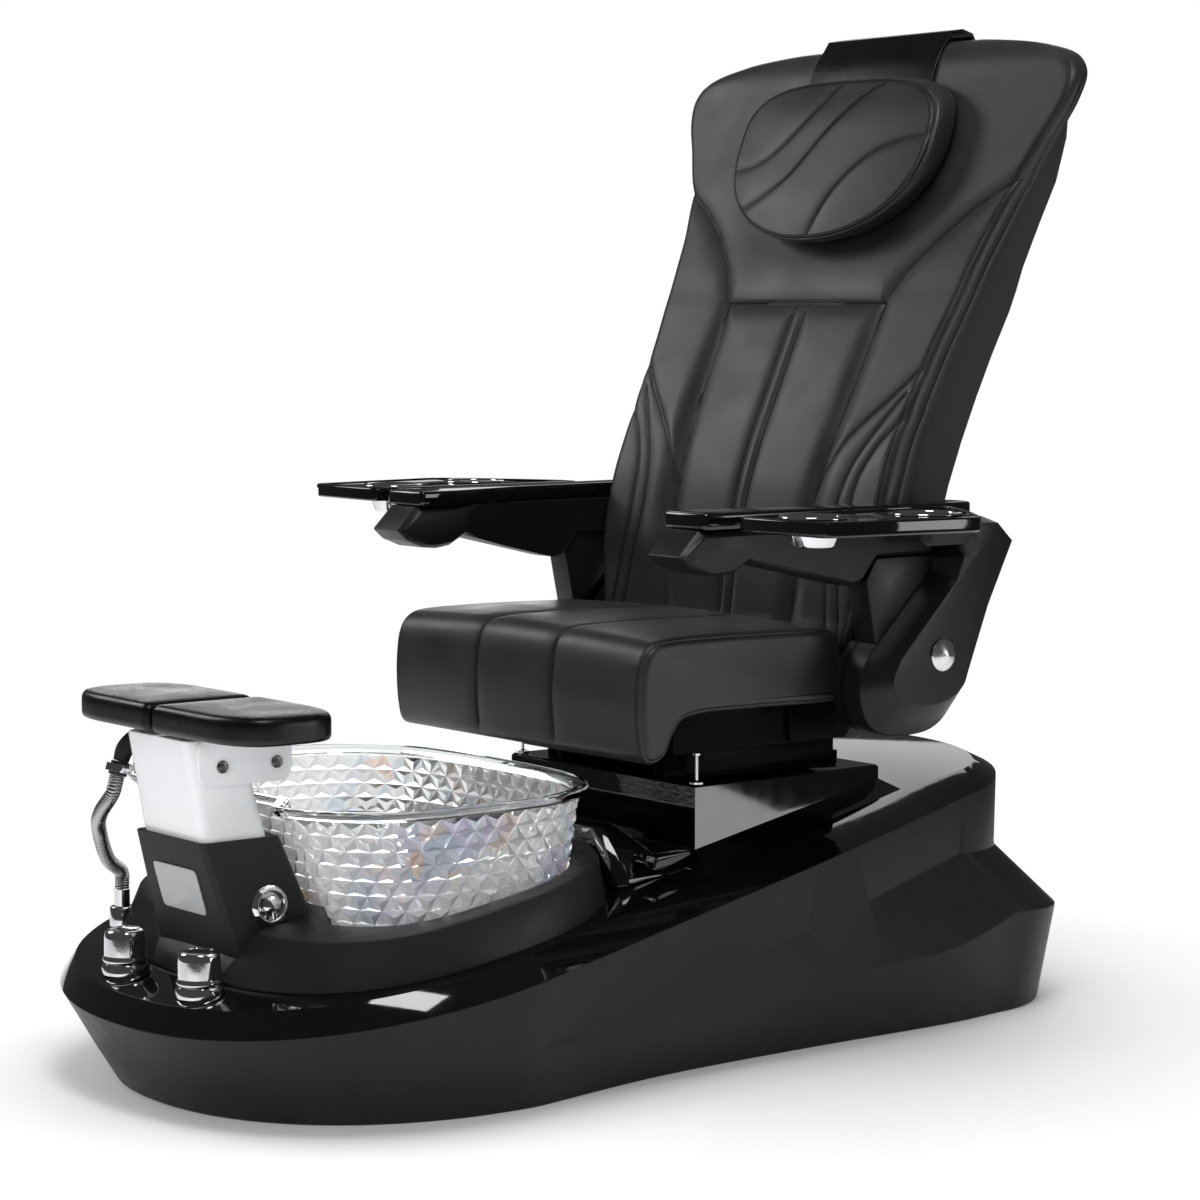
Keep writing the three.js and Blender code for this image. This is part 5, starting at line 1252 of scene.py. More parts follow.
@dataclass
class Stitching:
    """Rows of thread over sewn faces, with dark cords that paint the shade of the seams' creases, gathered into one
    piece for each cushion.
    """

    ground: BVHTree
    pitch: float = 5.0
    length: float = 3.3
    radius: float = 0.62
    fold_radius: float = 0.6
    spots: list[tuple[Points, Points, Points]] = field(default_factory=list)
    folds: list[tuple[Points, Points]] = field(default_factory=list)

    def fold(self, path: Points, normals: Points) -> None:
        """Adds the dark line where two leathers meet: a thin dark cord along the path, which paints the shade of the
        seam's crease.
        """
        self.folds.append((self.settled(path, normals), normals))

    def settled(self, path: Points, normals: Points) -> Points:
        """The path laid on the sewn piece's own faces."""
        laid = []
        for spot, outward in zip(path, normals):
            away = Vector(outward).normalized()
            hit = self.ground.ray_cast(Vector(spot) * MM + away * 0.03, -away, 0.06)[0]
            laid.append(np.array(hit) / MM if hit is not None else spot)
        return np.array(laid)

    def row(self, path: Points, normals: Points) -> None:
        """Adds one row.

        Args:
            path: Points along the row, in millimetres.
            normals: The face's outward direction at each point.
        """
        path = self.settled(path, normals)
        reach = np.concatenate([[0], np.cumsum(np.linalg.norm(np.diff(path, axis=0), axis=1))])
        for start in np.arange(self.pitch, reach[-1] - self.pitch, self.pitch):
            near, far = (np.array([np.interp(s, reach, path[:, k]) for k in range(3)])
                         for s in (start, start + self.length))
            outward = np.array([np.interp(start, reach, normals[:, k]) for k in range(3)])
            self.spots.append((near, far, outward / np.linalg.norm(outward)))

    def sew(self, path: Points, offset: float) -> None:
        """Adds a row on the back's front, or the fold itself where the offset is 0."""
        (self.row if offset else self.fold)(path, np.tile(BACK_NORMAL, (len(path), 1)))

    def build(self, name: str, node: str) -> Piece:
        """Makes the thread and the dark seam cords: each stitch is a short six-sided bar that dips at both ends, and
        each cord paints the shade of a seam's crease.
        """
        sides = 6
        angle = 2 * math.pi * np.arange(sides)[:, None] / sides
        points: list[Points] = []
        faces: list[list[int]] = []

        def tube(rings: Points) -> None:
            """Adds a closed tube through rings of points."""
            start = sum(len(ring) for ring in points)
            points.extend(rings)
            for base in range(start, start + (len(rings) - 1) * sides, sides):
                faces.extend([base + i, base + (i + 1) % sides, base + sides + (i + 1) % sides, base + sides + i]
                             for i in range(sides))
            last = start + (len(rings) - 1) * sides
            faces.extend([list(range(start, start + sides))[::-1], list(range(last, last + sides))])

        for near, far, outward in self.spots:
            along = far - near
            across = np.cross(along / max(float(np.linalg.norm(along)), 1e-9), outward)
            tube([near + along * share + outward * lift
                  + size * self.radius * (np.cos(angle) * across + np.sin(angle) * outward)
                  for share, size, lift in ((0.0, 0.55, -0.25), (0.5, 1.0, 0.35), (1.0, 0.55, -0.25))])
        # Painted shade: a thin dark tube along each seam's fold, where the crease's shade falls.
        for path, normals in self.folds:
            across = unit(np.cross(np.gradient(path, axis=0), normals))
            tube([spot + self.fold_radius * (np.cos(angle) * sideways + np.sin(angle) * outward)
                  for spot, sideways, outward in zip(path, across, normals)])
        piece = Bench.from_faces(name, np.concatenate(points), faces)
        Bench.shaded(piece, 60)
        return install(piece, THREAD_AND_CREASE_SHADE, node, added=True)


BACK_FOOT, BACK_TOP = 524, 1386
YOKE = 1010
# The back's outlines: height, half width, station of its front, station of its rear, the cushion's depth.
BACK_LEVELS = (
    (524, 258, 990, 1120, 18), (568, 270, 998, 1145, 30), (577, 272, 1000, 1150, 54),
    (640, 286, 1008, 1178, 54), (700, 296, 1022, 1196, 54),
    (760, 297, 1038, 1216, 54), (820, 296, 1060, 1243, 54), (880, 299, 1087, 1266, 54),
    (940, 304, 1114, 1290, 54), (1000, 313, 1142, 1312, 54), (1030, 317, 1157, 1318, 54),
    (1060, 321, 1171, 1322, 54), (1120, 333, 1201, 1334, 54), (1180, 352, 1226, 1344, 48),
    (1240, 379, 1250, 1352, 38), (1290, 403, 1268, 1356, 34), (1325, 406, 1280, 1358, 34),
    (1350, 385, 1288, 1360, 34), (1372, 310, 1300, 1362, 34), (1386, 190, 1314, 1362, 34),
)
SMOOTH_LEVELS = flowing(BACK_LEVELS, 600)


@dataclass
class Backrest:
    """The reclining back: shell, sewn cushion, pillow and the strap over the top."""

    panel: Seam = Seam(((133, BACK_FOOT), (139, 590), (150, 739), (160, 860), (169, YOKE)), 10, 15, (3.4,))
    centre: Seam = Seam(((11, BACK_FOOT), (11, 800), (11, YOKE)), 4.5, 10, (4.0,))
    across: Seam = Seam(((-169, YOKE), (0, YOKE + 1), (169, YOKE)), 7, 15, ())
    shoulder: Seam = Seam(((167, YOKE), (199, 1062), (248, 1112), (302, 1152), (352, 1181)), 6, 15, ())
    sweep: Seam = Seam(((294, 918), (262, 884), (225, 850), (192, 814), (168, 776), (152, 742)), 3, 10)
    inner_line: Seam = Seam(
        ((286, 890), (252, 838), (223, 785), (211, 728), (213, 655), (226, 550)), 2.4, 9, (-2.6, 2.6))
    outer_line: Seam = Seam(
        ((300, 858), (265, 818), (243, 771), (238, 715), (240, 640), (253, 550)), 2.4, 9, (-2.6, 2.6))

    def at(self, z: Points | float, column: int) -> Points | float:
        """A value of the back's outlines at a height."""
        return np.interp(z, SMOOTH_LEVELS[:, 0], SMOOTH_LEVELS[:, column])

    def front(self, z: Points | float) -> Points | float:
        """Y of the cushion's plain front at a height."""
        return station(self.at(z, 2))

    def half(self, z: Points | float) -> Points | float:
        """Half width at a height."""
        return self.at(z, 1)

    def outline(self) -> Points:
        """The front view's outline on the near side, from the bottom up to the top's middle."""
        heights = np.linspace(BACK_FOOT, BACK_TOP, 240)
        line = np.stack([self.half(heights), heights], axis=1)
        return np.vstack([[0, 500], [260, 500], line, [0, 1394]])

    def sewn(self) -> list[tuple[Seam, int]]:
        """Every seam with the side of the chair that it is on."""
        paired = [self.panel, self.centre, self.shoulder, self.sweep, self.inner_line, self.outer_line]
        return [(seam, side) for seam in paired for side in (1, -1)] + [(self.across, 1)]

    def relief(self, spots: Points) -> Points:
        """How far the front is sunk at each (x, z), from seams, bolsters and the rolled edge."""
        deepest = np.max([seam.sink(spots, side) for seam, side in self.sewn()], axis=0)
        x, z = np.abs(spots[..., 0]), spots[..., 1]
        edge = far_from(self.outline(), np.stack([x, z], axis=-1))
        rolled = 2.6 * np.clip(1 - edge / 16, 0, 1) ** 2 + 4.4 * np.clip(1 - edge / 4.5, 0, 1) ** 2
        seam_x = np.interp(z, (BACK_FOOT, YOKE), (133, 169))
        bolster = -5 * smooth((x - seam_x) / 45, 0, 1) * (1 - smooth(z, 860, 1000))
        return deepest + rolled + bolster

    def face(self, x: Points, z: Points) -> Points:
        """Points on the cushion's front."""
        y = self.front(z) + self.relief(np.stack([x, z], axis=-1))
        return np.stack([x, y, z], axis=-1)

    def cushion(self) -> None:
        """The cushion with its panels, yoke, bolsters and boxed sides."""
        heights = np.concatenate([np.linspace(BACK_FOOT, 1340, 300), np.linspace(1340, BACK_TOP, 36)[1:]])
        shares = np.linspace(-1, 1, 191)
        shares = np.sign(shares) * np.abs(shares) ** 0.92
        rings = []
        for k, z in enumerate(heights):
            end = max(0.0, 1 - min(k, len(heights) - 1 - k) / 3)
            half = float(self.half(z)) - 7 * end**2
            x = half * shares
            front = self.face(x, np.full_like(x, z))
            front[:, 1] += 8 * end**2
            depth = float(self.at(z, 4))
            rear = float(self.front(z)) + depth
            start = front[-1, 1]
            first = start + (rear - start) * 0.5
            side = [(half + 0.8, start + 1.5, z), (half + 2.2, start + 5, z),
                    (half + 2.6, start + (first - start) * 0.5, z), (half + 2, first - 3, z),
                    (half + 0.4, first - 0.8, z),
                    (half - 0.8, first, z), (half + 0.2, first + 1, z), (half + 1, first + 4, z),
                    (half, rear - 7, z), (half - 3, rear - 1.5, z)]
            other = [(-a, b, c) for a, b, c in side[::-1]]
            back = [(half * s, rear - 0.2, z) for s in (0.8, 0.4, 0, -0.4, -0.8)]
            rings.append(np.vstack([front, side, back, other]))
        piece = Bench.skin("back_cushion_sewn", np.array(rings))
        Bench.shaded(piece, 55)
        install(piece, HIDE, "back_cushion")
        self.stitches(Stitching(Bench.faces_of(piece)))

    def stitches(self, thread: Stitching) -> None:
        """The thread beside the seams and round the border."""
        for seam, side in self.sewn():
            # Offset 0 lays a dark cord along the seam's fold, which is painted shade for its crease.
            for offset in (0.0, *seam.rows):
                moved = seam.beside(offset, side)
                inside = np.abs(moved[:, 0]) < self.half(moved[:, 1]) - 6
                if inside.sum() > 3:
                    thread.sew(self.face(moved[inside, 0], moved[inside, 1]), offset)
        heights = np.linspace(590, 1344, 240)
        for side in (1, -1):
            # The border's offset 0 lays the same painted-shade cord along its seam.
            for inset, offset in ((5.0, 0), (9.0, 4)):
                thread.sew(self.face(side * (self.half(heights) - inset), heights), offset)
        thread.build("back_stitching", "back_cushion")

    def build(self) -> None:
        """Builds the back and what is on it."""
        refine("back_shell", MATT, 2.0, 24)
        self.cushion()
        Pillow(self).build()
        strap = Bench.eased(Bench.copied("pillow_strap", "pillow_strap_sewn"), 1.6, 30, 3)
        install(strap, PAD_HIDE, "pillow_strap")


@dataclass
class Pillow:
    """The head pillow: a boxed pad with a sewn border and three double-stitched diagonals."""

    back: Backrest
    half: float = 214
    bottom: float = 1099
    height: float = 237
    thickness: float = 62
    diagonals: tuple[Seam, ...] = (
        Seam(((-196, 1208), (-150, 1214), (-109, 1231), (-60, 1271), (-5, 1330)), 1.8, 8),
        Seam(((-168, 1140), (-110, 1166), (-59, 1197), (-2, 1261), (52, 1310), (91, 1330)), 1.8, 8),
        Seam(((8, 1104), (25, 1140), (52, 1180), (101, 1221), (150, 1240), (204, 1248)), 1.8, 8),
    )

    @property
    def middle(self) -> float:
        """Height of the pillow's widest line."""
        return self.bottom + self.height * 0.58

    def form(self, upward: Points) -> tuple[Points, Points]:
        """The outline's squareness and its reach, above the middle and below it."""
        upper = upward > 0
        return np.where(upper, 3.4, 2.15), np.where(upper, self.height * 0.42, self.height * 0.58)

    def outline(self, count: int) -> Points:
        """The pillow's outline about its middle, flat across the top and round below."""
        angle = 2 * math.pi * (np.arange(count) + 0.5) / count
        c, s = np.cos(angle), np.sin(angle)
        power, rise = self.form(s)
        line = np.stack([
            self.half * np.sign(c) * np.abs(c) ** (2 / power), rise * np.sign(s) * np.abs(s) ** (2 / power)], axis=1)
        return evenly(line, count)

    def face_depth(self, scale: Points | float) -> Points | float:
        """Thickness of the pillow at a share of the way out from its middle."""
        return self.thickness - 15 * np.asarray(scale, float) ** 2.6

    def spot(self, flat: Points, scale: float) -> Points:
        """Points on the front face, sunk by the seams."""
        x, z = flat[:, 0] * scale, self.middle + flat[:, 1] * scale
        sunk = np.max([seam.sink(np.stack([x, z], axis=1)) for seam in self.diagonals], axis=0)
        y = self.back.front(z) - 0.3 - self.face_depth(scale) + sunk
        return np.stack([x, y, z], axis=1)

    def build(self) -> None:
        """Builds the pillow and its thread."""
        flat = self.outline(300)
        rings = []
        for scale, depth in ((0.30, 0.3), (0.70, 0.3), (0.90, 1.5), (0.955, 5), (0.985, 12), (1.0, 22), (0.998, 32),
                             (0.985, 41), (0.972, 44.5), (0.962, 45.2), (0.955, 44.6)):
            x, z = flat[:, 0] * scale, self.middle + flat[:, 1] * scale
            rings.append(np.stack([x, self.back.front(z) - 0.3 - depth, z], axis=1))
        shares = np.concatenate([np.linspace(0.95, 0.86, 10), np.linspace(0.84, 0.02, 84)])
        for scale in shares:
            ring = self.spot(flat, float(scale))
            ring[:, 1] += 2.6 * max(0.0, 1 - (0.955 - scale) / 0.03) ** 2
            rings.append(ring)
        piece = Bench.skin("pillow_sewn", np.array(rings))
        Bench.cut(piece, self.strap_room())
        Bench.shaded(piece, 50)
        install(piece, HIDE, "pillow")
        thread = Stitching(Bench.faces_of(piece))
        for seam in self.diagonals:
            # Offset 0 lays a dark cord along the seam's fold, which is painted shade for its crease.
            for offset in (0.0, *seam.rows):
                local = seam.beside(offset) - (0, self.middle)
                scale = self.share_of(local)
                inside = scale < 0.93
                if inside.sum() > 3:
                    path = np.vstack([self.spot(p[None] / s, s) for p, s in zip(local[inside], scale[inside])])
                    thread.sew(path, offset)
        # The border's offset 0 lays the same painted-shade cord along its seam.
        for scale, offset in ((0.925, 1), (0.95, 0)):
            thread.sew(self.spot(np.vstack([flat, flat[:1]]), scale), offset)
        thread.build("pillow_stitching", "pillow")

    def share_of(self, local: Points) -> Points:
        """How far out each point lies, as a share of the outline in its direction."""
        power, rise = self.form(local[:, 1])
        total = np.abs(local[:, 0] / self.half) ** power + np.abs(local[:, 1] / rise) ** power
        return total ** (1 / power)

    def strap_room(self) -> Piece:
        """The space that the strap takes from the pillow's rear."""
        rings = [[(s * 134, float(self.back.front(z)) + t, z) for s, t in ((-1, 4), (1, 4), (1, -5.4), (-1, -5.4))]
                 for z in (1290.0, 1325, 1350)]
        return Bench.skin("strap_room", np.array(rings))


@dataclass
class Seat:
    """The seat cushion over its sliding steel pan."""

    nose_to: float = 628
    half: float = 283
    depth: float = 350
    top: float = 574
    underside: float = 472
    lip_bottom: float = 412
    lip_depth: float = 62
    seam_offset: float = 86

    def profile(self) -> Points:
        """The side view's outline (y, z), from the rear under the seat, round the lip and back over the top."""
        front = station(self.nose_to)
        rear = front + self.depth
        knots = [
            (rear, self.underside + 14), (rear - 3, self.underside + 3), (rear - 10, self.underside),
            (front + self.lip_depth + 130, self.underside), (front + self.lip_depth + 34, self.underside - 1),
            (front + self.lip_depth + 8, self.underside - 7), (front + self.lip_depth - 5, self.underside - 22),
            (front + 40, self.lip_bottom + 8), (front + 28, self.lip_bottom + 1), (front + 14, self.lip_bottom),
            (front + 5, self.lip_bottom + 7), (front - 1, self.lip_bottom + 30), (front - 4, self.lip_bottom + 70),
            (front - 3, self.top - 60), (front + 1, self.top - 32), (front + 9, self.top - 15),
            (front + 24, self.top - 4), (front + 50, self.top), (front + 90, self.top + 1),
            (front + 160, self.top + 1), (front + 260, self.top - 1), (rear - 24, self.top - 4),
            (rear - 7, self.top - 14), (rear - 1, self.top - 34), (rear, self.top - 60),
        ]
        dense = flowing(knots, 600)
        return evenly(dense, 190)

    def rings(self, stations: Sequence[tuple[float, float]]) -> Points:
        """The profile at each (x, inset), with its crown and the channels' valleys."""
        profile = self.profile()
        along = unit(np.roll(profile, -1, axis=0) - np.roll(profile, 1, axis=0))
        inward = np.stack([along[:, 1], -along[:, 0]], axis=1)
        upper = smooth(profile[:, 1], (self.underside + self.top) / 2, self.top - 4)
        made = []
        for x, inset in stations:
            crown = 7 * (1 - (x / self.half) ** 2)
            far = min(abs(abs(x) - self.seam_offset), 60)
            valley = 3.0 * math.exp(-((far / 13) ** 1.4)) + 1.4 * math.exp(-((far / 1.7) ** 2))
            seen = smooth(profile[:, 1], self.lip_bottom + 2, self.lip_bottom + 26)
            sink = inset + valley * seen
            move = inward * np.asarray(sink)[:, None]
            y = profile[:, 0] + move[:, 0]
            z = profile[:, 1] + move[:, 1] + crown * upper
            made.append(np.column_stack([np.full(len(y), x), y, z]))
        return np.array(made)

    def cushion(self) -> None:
        """The cushion: face rings across it, then each side panel drawn in to its seam."""
        inner = np.unique(np.concatenate([
            np.linspace(0, self.half - 9, 44),
            self.seam_offset + np.array([-9, -5, -3, -1.5, -0.7, 0, 0.7, 1.5, 3, 5, 9]),
        ]))
        roll = [(self.half - out, inset) for out, inset in (
            (7.6, 0.4), (5.8, 1.2), (4.5, 2.6), (4.0, 3.9), (4.4, 4.8), (3.4, 5.4), (2.2, 6.4), (1.2, 8), (0.5, 10),
            (0.1, 12.5))]
        right = [(float(x), 0.0) for x in inner] + roll
        whole = [(-x, inset) for x, inset in right[:0:-1]] + right
        piece = Bench.skin("seat_cushion_sewn", self.rings(whole))
        Bench.shaded(piece, 55)
        install(piece, HIDE, "seat_cushion")
        self.stitches(Stitching(Bench.faces_of(piece)))

    def stitches(self, thread: Stitching) -> None:
        """Double rows beside both channels, and one row round each side panel's seam."""
        profile = self.profile()
        along = unit(np.roll(profile, -1, axis=0) - np.roll(profile, 1, axis=0))
        outward = np.stack([np.zeros(len(profile)), -along[:, 1], along[:, 0]], axis=1)
        seen = profile[:, 1] > self.lip_bottom + 10
        order = np.flatnonzero(seen & ((profile[:, 0] < station(self.nose_to) + 12) | (profile[:, 1] > self.top - 40)))
        for side in (1, -1):
            # thread.fold lays the dark cord that paints the shade of the channel seam's crease.
            for x, add in ((self.seam_offset, thread.fold), (self.seam_offset - 3.6, thread.row),
                           (self.seam_offset + 3.6, thread.row), (self.half - 10.5, thread.row)):
                ring = self.rings([(side * x, 0.0)])[0]
                add(ring[order], outward[order])
        thread.build("seat_stitching", "seat_cushion")

    def build(self) -> None:
        """Builds the cushion and dresses the steel under it."""
        self.cushion()
        refine("seat_carriage", STEEL, 0.8)
        refine("seat_frame", STEEL, 1.2)
        lathe("pivot_tube_turned", "pivot_tube", STEEL,
              [(0, -374), (19, -374), (20, -373), (20, 373), (19, 374), (0, 374)],
              (0, station(PIVOT[0]), PIVOT[1]), (1, 0, 0), 48)


# ---------------------------------------------------------------- armrests and trays


HOUSING_OUTLINE = (
    (1104, 719.7), (1104, 697), (1074, 666), (1073, 650), (975, 556), (953, 530), (943, 500), (945, 475),
    (956, 450), (972, 437), (992, 430), (1034, 427), (1072, 432), (1098, 447), (1113, 470), (1120, 500),
    (1152, 601), (1197, 690), (1167, 719.7),
)
HOUSING_FACE = (
    (1113, 712.7), (1112, 693), (1097, 668), (1084, 637), (984, 538), (974, 522), (969, 505), (973, 490),
    (987, 478), (1006, 473), (1029, 471), (1052, 472), (1072, 477), (1088, 485), (1101, 497), (1107, 511),
    (1144, 601), (1189, 687), (1161, 712.7),
)
STRUT_OUTLINE = ((955, 640), (972, 557), (990, 545), (1080, 640), (1080, 670), (974, 670))


@dataclass
class Armrest:
    """One armrest with its faceted pivot housing, and its swivelling tray."""

    word: str
    inner: float = 312
    outer: float = 392
    cup: tuple[float, float] = (472, 753)
    dish: tuple[float, float] = (500, 923)
    tray_top: float = 741

    @property
    def side(self) -> int:
        """1 for the near arm and -1 for the far one."""
        return SIDES[self.word]

    def chrome(self) -> None:
        """The pivot's conical cap, the cup holder and the dish ring."""
        word, side = self.word, self.side
        lathe("pivot_cap_turned_" + word, "pivot_cap_" + word, BRUSHED, [
            (0, 0), (22, 0), (22, 2.4), (21.4, 3.2), (19.4, 4.4), (18.6, 5), (2.6, 11), (0, 11.4)],
            (side * (self.outer + 0.3), station(PIVOT[0]), PIVOT[1]), (side, 0, 0), angle=24)
        rim = self.tray_top - 2.2
        lathe("cup_holder_turned_" + word, "cup_holder_" + word, CHROME, [
            (0, 702), (25, 702), (27, 703), (28, 705), (39.4, rim - 4), (40.2, rim), (44.4, rim), (45, rim + 0.6),
            (44.8, rim + 2.4), (43.6, rim + 3.6), (41.6, rim + 4.3), (39.6, rim + 4.2), (38.2, rim + 3.4),
            (37.6, rim + 1), (26, 706.4), (25, 705.2), (0, 705)],
            (side * self.cup[0], station(self.cup[1]), 0), angle=40)
        lathe("dish_ring_turned_" + word, "dish_ring_" + word, CHROME, [
            (0, rim - 14), (39, rim - 14), (40, rim - 13.2), (42, rim), (46.4, rim), (47, rim + 0.5),
            (46.8, rim + 1.7), (45.6, rim + 2.8), (43.4, rim + 3.4), (41, rim + 3.3), (39.6, rim + 2.6),
            (38.8, rim + 1), (37.4, rim - 11.4), (36.4, rim - 12), (0, rim - 12)],
            (side * self.dish[0], station(self.dish[1]), 0), angle=40)

    def view(self, knots: Sequence[tuple[float, float]], x: float, rounded: range) -> Points:
        """A side-view outline at x, with a smooth curve through the rounded knots.

        Args:
            knots: Pairs of station and height.
            x: Distance from the chair's middle plane.
            rounded: The knots that lie on the disc's round.

        Returns:
            Rows of coordinates, as many for every outline with as many knots.
        """
        flat = np.array([(station(distance), z) for distance, z in knots])
        whole = flat
        if len(rounded):
            curve = flowing(flat[rounded.start:rounded.stop], 60)
            whole = np.vstack([flat[:rounded.start], curve, flat[rounded.stop:]])
        return np.column_stack([np.full(len(whole), self.side * x), whole])

    def housing(self) -> None:
        """The faceted housing: a bevelled disc and plate, the disc's inner wall and the strut."""
        disc = range(4, 16)
        plate = Bench.skin("arm_housing_plate", np.array([
            self.view(HOUSING_OUTLINE, self.inner, disc), self.view(HOUSING_OUTLINE, self.outer - 38, disc),
            self.view(HOUSING_FACE, self.outer, disc)]))
        Bench.eased(plate, 1.6, 17, 3)
        wall = Bench.skin("arm_housing_wall", np.array([
            self.view(HOUSING_OUTLINE[4:16], x, range(0, 12)) for x in (self.inner - 12, self.inner + 8)]))
        Bench.eased(wall, 1.6, 30, 3)
        strut = Bench.skin("arm_housing_strut", np.array([
            self.view(STRUT_OUTLINE, x, range(6, 6)) for x in (self.inner, self.outer - 40)]))
        Bench.eased(strut, 1.2, 30, 2)
        piece = Bench.joined("arm_housing_shape_" + self.word, [plate, wall, strut])
        install(piece, TEXTURED, "arm_housing_" + self.word)

    def build(self) -> None:
        """Builds the arm and its tray."""
        word = self.word
        refine("arm_slab_" + word, GLOSS, 2.0, 24)
        refine("arm_cover_" + word, TEXTURED, 1.8, 18)
        self.housing()
        refine("tray_bracket_" + word, MATT, 0.8)
        refine("tray_board_" + word, GLOSS, 0.8, 24)
        self.chrome()


# ---------------------------------------------------------------- studio


@dataclass(frozen=True)
class Softbox:
    """A rectangular studio light."""

    name: str
    place: tuple[float, float, float]
    target: tuple[float, float, float]
    size: tuple[float, float]
    power: float
    mirrored: bool = True

    def build(self) -> None:
        """Puts the light up."""
        lamp = bpy.data.lights.new(self.name, "AREA")
        lamp.shape = "RECTANGLE"
        lamp.size, lamp.size_y = self.size
        lamp.energy = self.power
        holder = bpy.data.objects.new(self.name, lamp)
        bpy.context.scene.collection.objects.link(holder)
        holder.location = self.place
        aim = Vector(self.target) - Vector(self.place)
        holder.rotation_euler = aim.to_track_quat("-Z", "Y").to_euler()
        holder.visible_glossy = self.mirrored


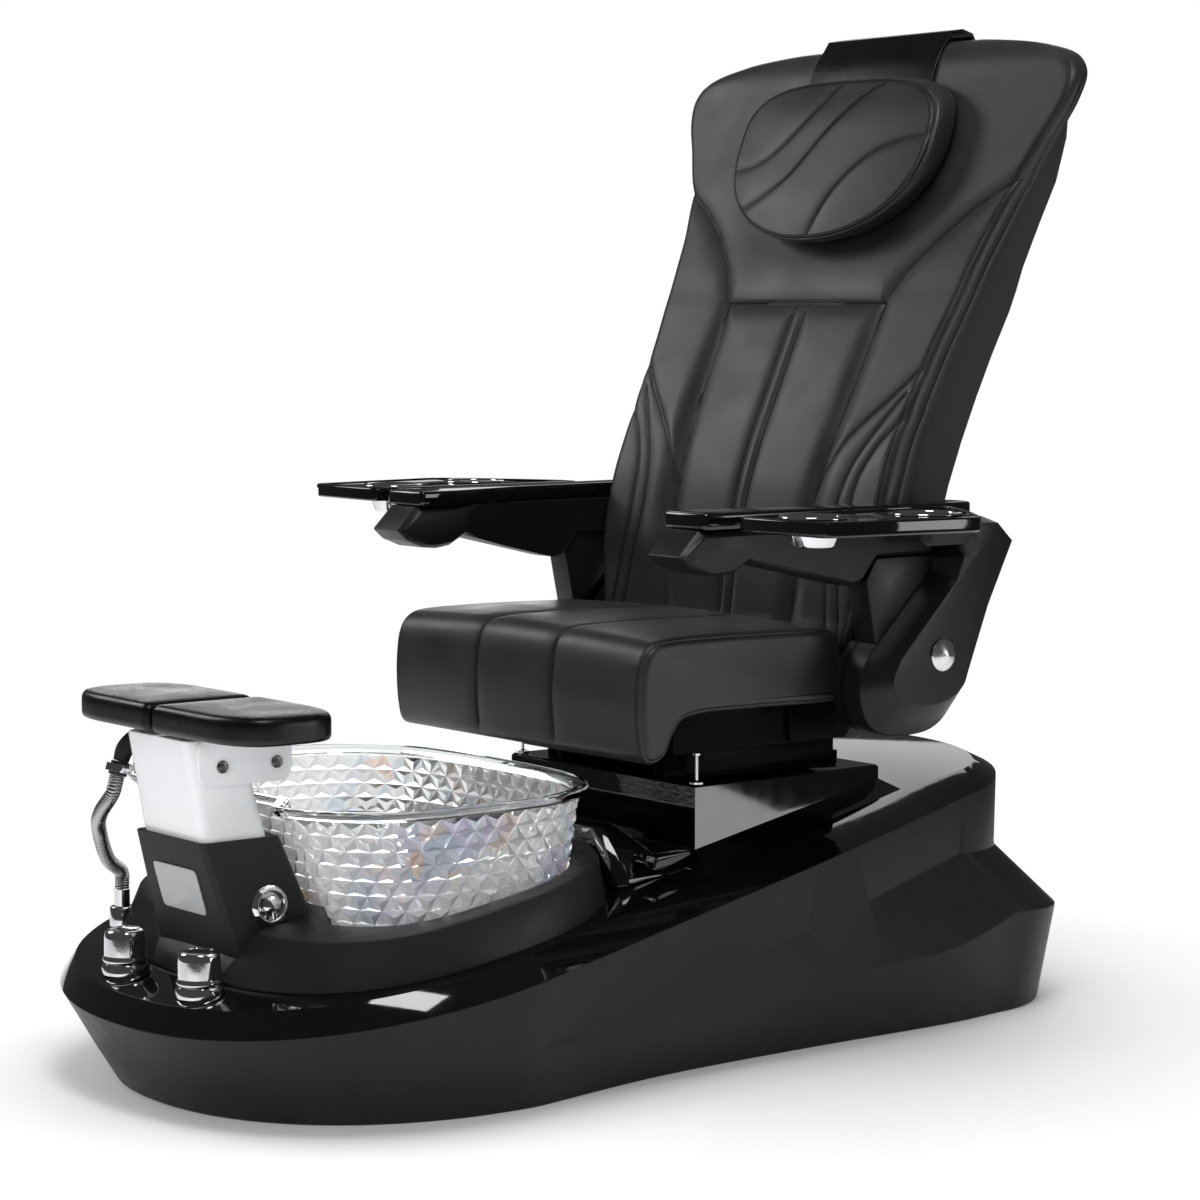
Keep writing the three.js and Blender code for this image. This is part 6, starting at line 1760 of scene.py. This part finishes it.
@dataclass
class Studio:
    """Camera, pale floor, white surroundings and soft light."""

    azimuth: float = 52.06
    elevation: float = 5.14
    distance: float = 4.518
    target: tuple[float, float, float] = (0, 0.034, 0.600)
    lens: float = 97.56
    floor_radius: float = 3.2
    floor_glow: float = 2.2
    glow_share: float = 0.04
    fade: tuple[float, float] = (0.78, 1.2)
    cool: tuple[float, ...] = (0.95, 0.97, 1.0, 1)
    white: tuple[float, ...] = (1, 1, 1, 1)
    plain_level: float = 0.36
    gloss_level: float = 0.06
    boxes: tuple[Softbox, ...] = (
        Softbox("key", (-2.8, -1.3, 2.35), (0, 0.1, 0.8), (1.2, 1.3), 24),
        Softbox("deck_card", (-2.3, 2.5, 1.95), (0.1, 0.2, 0.5), (2.0, 1.2), 8),
        Softbox("side_card", (2.78, 1.63, 0.85), (0.2, 0.1, 0.4), (0.9, 1.2), 12),
        Softbox("pad_card", (-1.15, 0.3, 0.63), (0.0, -0.6, 0.5), (0.9, 0.16), 1.4),
        Softbox("housing_card", (1.0, -0.75, 2.9), (0.39, 0.25, 0.6), (0.9, 0.7), 20),
        Softbox("overhead", (0.1, 0.2, 3.3), (0, 0.1, 0.6), (2.8, 2.4), 78, False),
        Softbox("front_fill", (1.5, -2.9, 1.5), (0, -0.4, 0.5), (2.0, 1.6), 38, False),
    )

    def camera(self) -> None:
        """The camera at the photograph's viewing angle."""
        azimuth, elevation = math.radians(self.azimuth), math.radians(self.elevation)
        back = Vector((
            math.sin(azimuth) * math.cos(elevation), -math.cos(azimuth) * math.cos(elevation), math.sin(elevation)))
        data = bpy.data.cameras.new("studio_camera")
        data.lens = self.lens
        data.sensor_width = 36
        data.clip_end = 60
        holder = bpy.data.objects.new("studio_camera", data)
        bpy.context.scene.collection.objects.link(holder)
        holder.location = Vector(self.target) + back * self.distance
        holder.rotation_euler = (-back).to_track_quat("-Z", "Y").to_euler()
        bpy.context.scene.camera = holder

    def floor(self) -> None:
        """The pale floor: it keeps the chair's shadow and fades into the white surroundings."""
        Bench.clear()
        bpy.ops.mesh.primitive_circle_add(vertices=96, radius=self.floor_radius, fill_type="NGON")
        floor = bpy.context.object
        floor.name = "studio_floor"
        wiring = Wiring("studio_floor")
        wiring.set(Base_Color=(0.86, 0.86, 0.865, 1), Roughness=0.5, Specular_IOR_Level=0.15)
        direct = wiring.add("ShaderNodeLightPath").outputs["Is Camera Ray"]

        def glowing(under: bpy.types.NodeSocket, share: Any, strength: float) -> bpy.types.NodeSocket:
            """A shader that turns to plain light by a share, where the camera sees it itself."""
            seen = wiring.add("ShaderNodeMath", {0: direct, 1: share}, operation="MULTIPLY").outputs[0]
            glow = wiring.add("ShaderNodeEmission", {"Color": self.white, "Strength": strength}).outputs[0]
            return wiring.add("ShaderNodeMixShader", {0: seen, 1: under, 2: glow}).outputs[0]

        away = wiring.add("ShaderNodeVectorMath", {0: wiring.place}, operation="LENGTH").outputs["Value"]
        lit = glowing(wiring.shader.outputs[0], self.glow_share, self.floor_glow)
        faded = glowing(lit, wiring.ranged(away, 0, 1, *self.fade), 1.0)
        wiring.tree.links.new(faded, wiring.output.inputs[0])
        floor.data.materials.append(wiring.material)

    def surroundings(self) -> None:
        """White where the camera and glass see it, nearly black to glossy rays and a plain level for the rest."""
        world = bpy.data.worlds.new("studio_world")
        bpy.context.scene.world = world
        world.use_nodes = True
        tree = world.node_tree

        def level(strength: float, color: tuple[float, ...]) -> bpy.types.NodeSocket:
            """The output of a background of its own."""
            node = tree.nodes.new("ShaderNodeBackground")
            node.inputs[0].default_value = color
            node.inputs[1].default_value = strength
            return node.outputs[0]

        def either(*sockets: bpy.types.NodeSocket) -> bpy.types.NodeSocket:
            """The second shader, or the third one where the first socket is 1."""
            node = tree.nodes.new("ShaderNodeMixShader")
            for source, socket in zip(sockets, node.inputs):
                tree.links.new(source, socket)
            return node.outputs[0]

        path = tree.nodes.new("ShaderNodeLightPath").outputs
        seen = tree.nodes.new("ShaderNodeMath")
        seen.operation = "MAXIMUM"
        tree.links.new(path["Is Camera Ray"], seen.inputs[0])
        tree.links.new(path["Is Transmission Ray"], seen.inputs[1])
        shine = either(path["Is Glossy Ray"], level(self.plain_level, self.cool), level(self.gloss_level, self.cool))
        mix = either(seen.outputs[0], shine, level(1, self.white))
        tree.links.new(mix, tree.nodes["World Output"].inputs[0])

    def build(self) -> None:
        """Builds the studio."""
        self.camera()
        self.floor()
        self.surroundings()
        for box in self.boxes:
            box.build()
        bpy.context.scene.view_settings.view_transform = "Standard"


def main() -> None:
    """Builds the studio and the chair in order."""
    logging.basicConfig(level=logging.INFO, format="%(name)s: %(message)s")
    Studio().build()
    assemblies: list[Any] = [
        HandShower(), Base(), GlassBowl(), Collar(), FrontColumn(), Footrest(), Seat(), Backrest(),
        *(Armrest(word) for word in SIDES),
    ]
    for assembly in assemblies:
        assembly.build()
        LOG.info("%s is done", type(assembly).__name__)


if __name__ == "__main__":
    main()
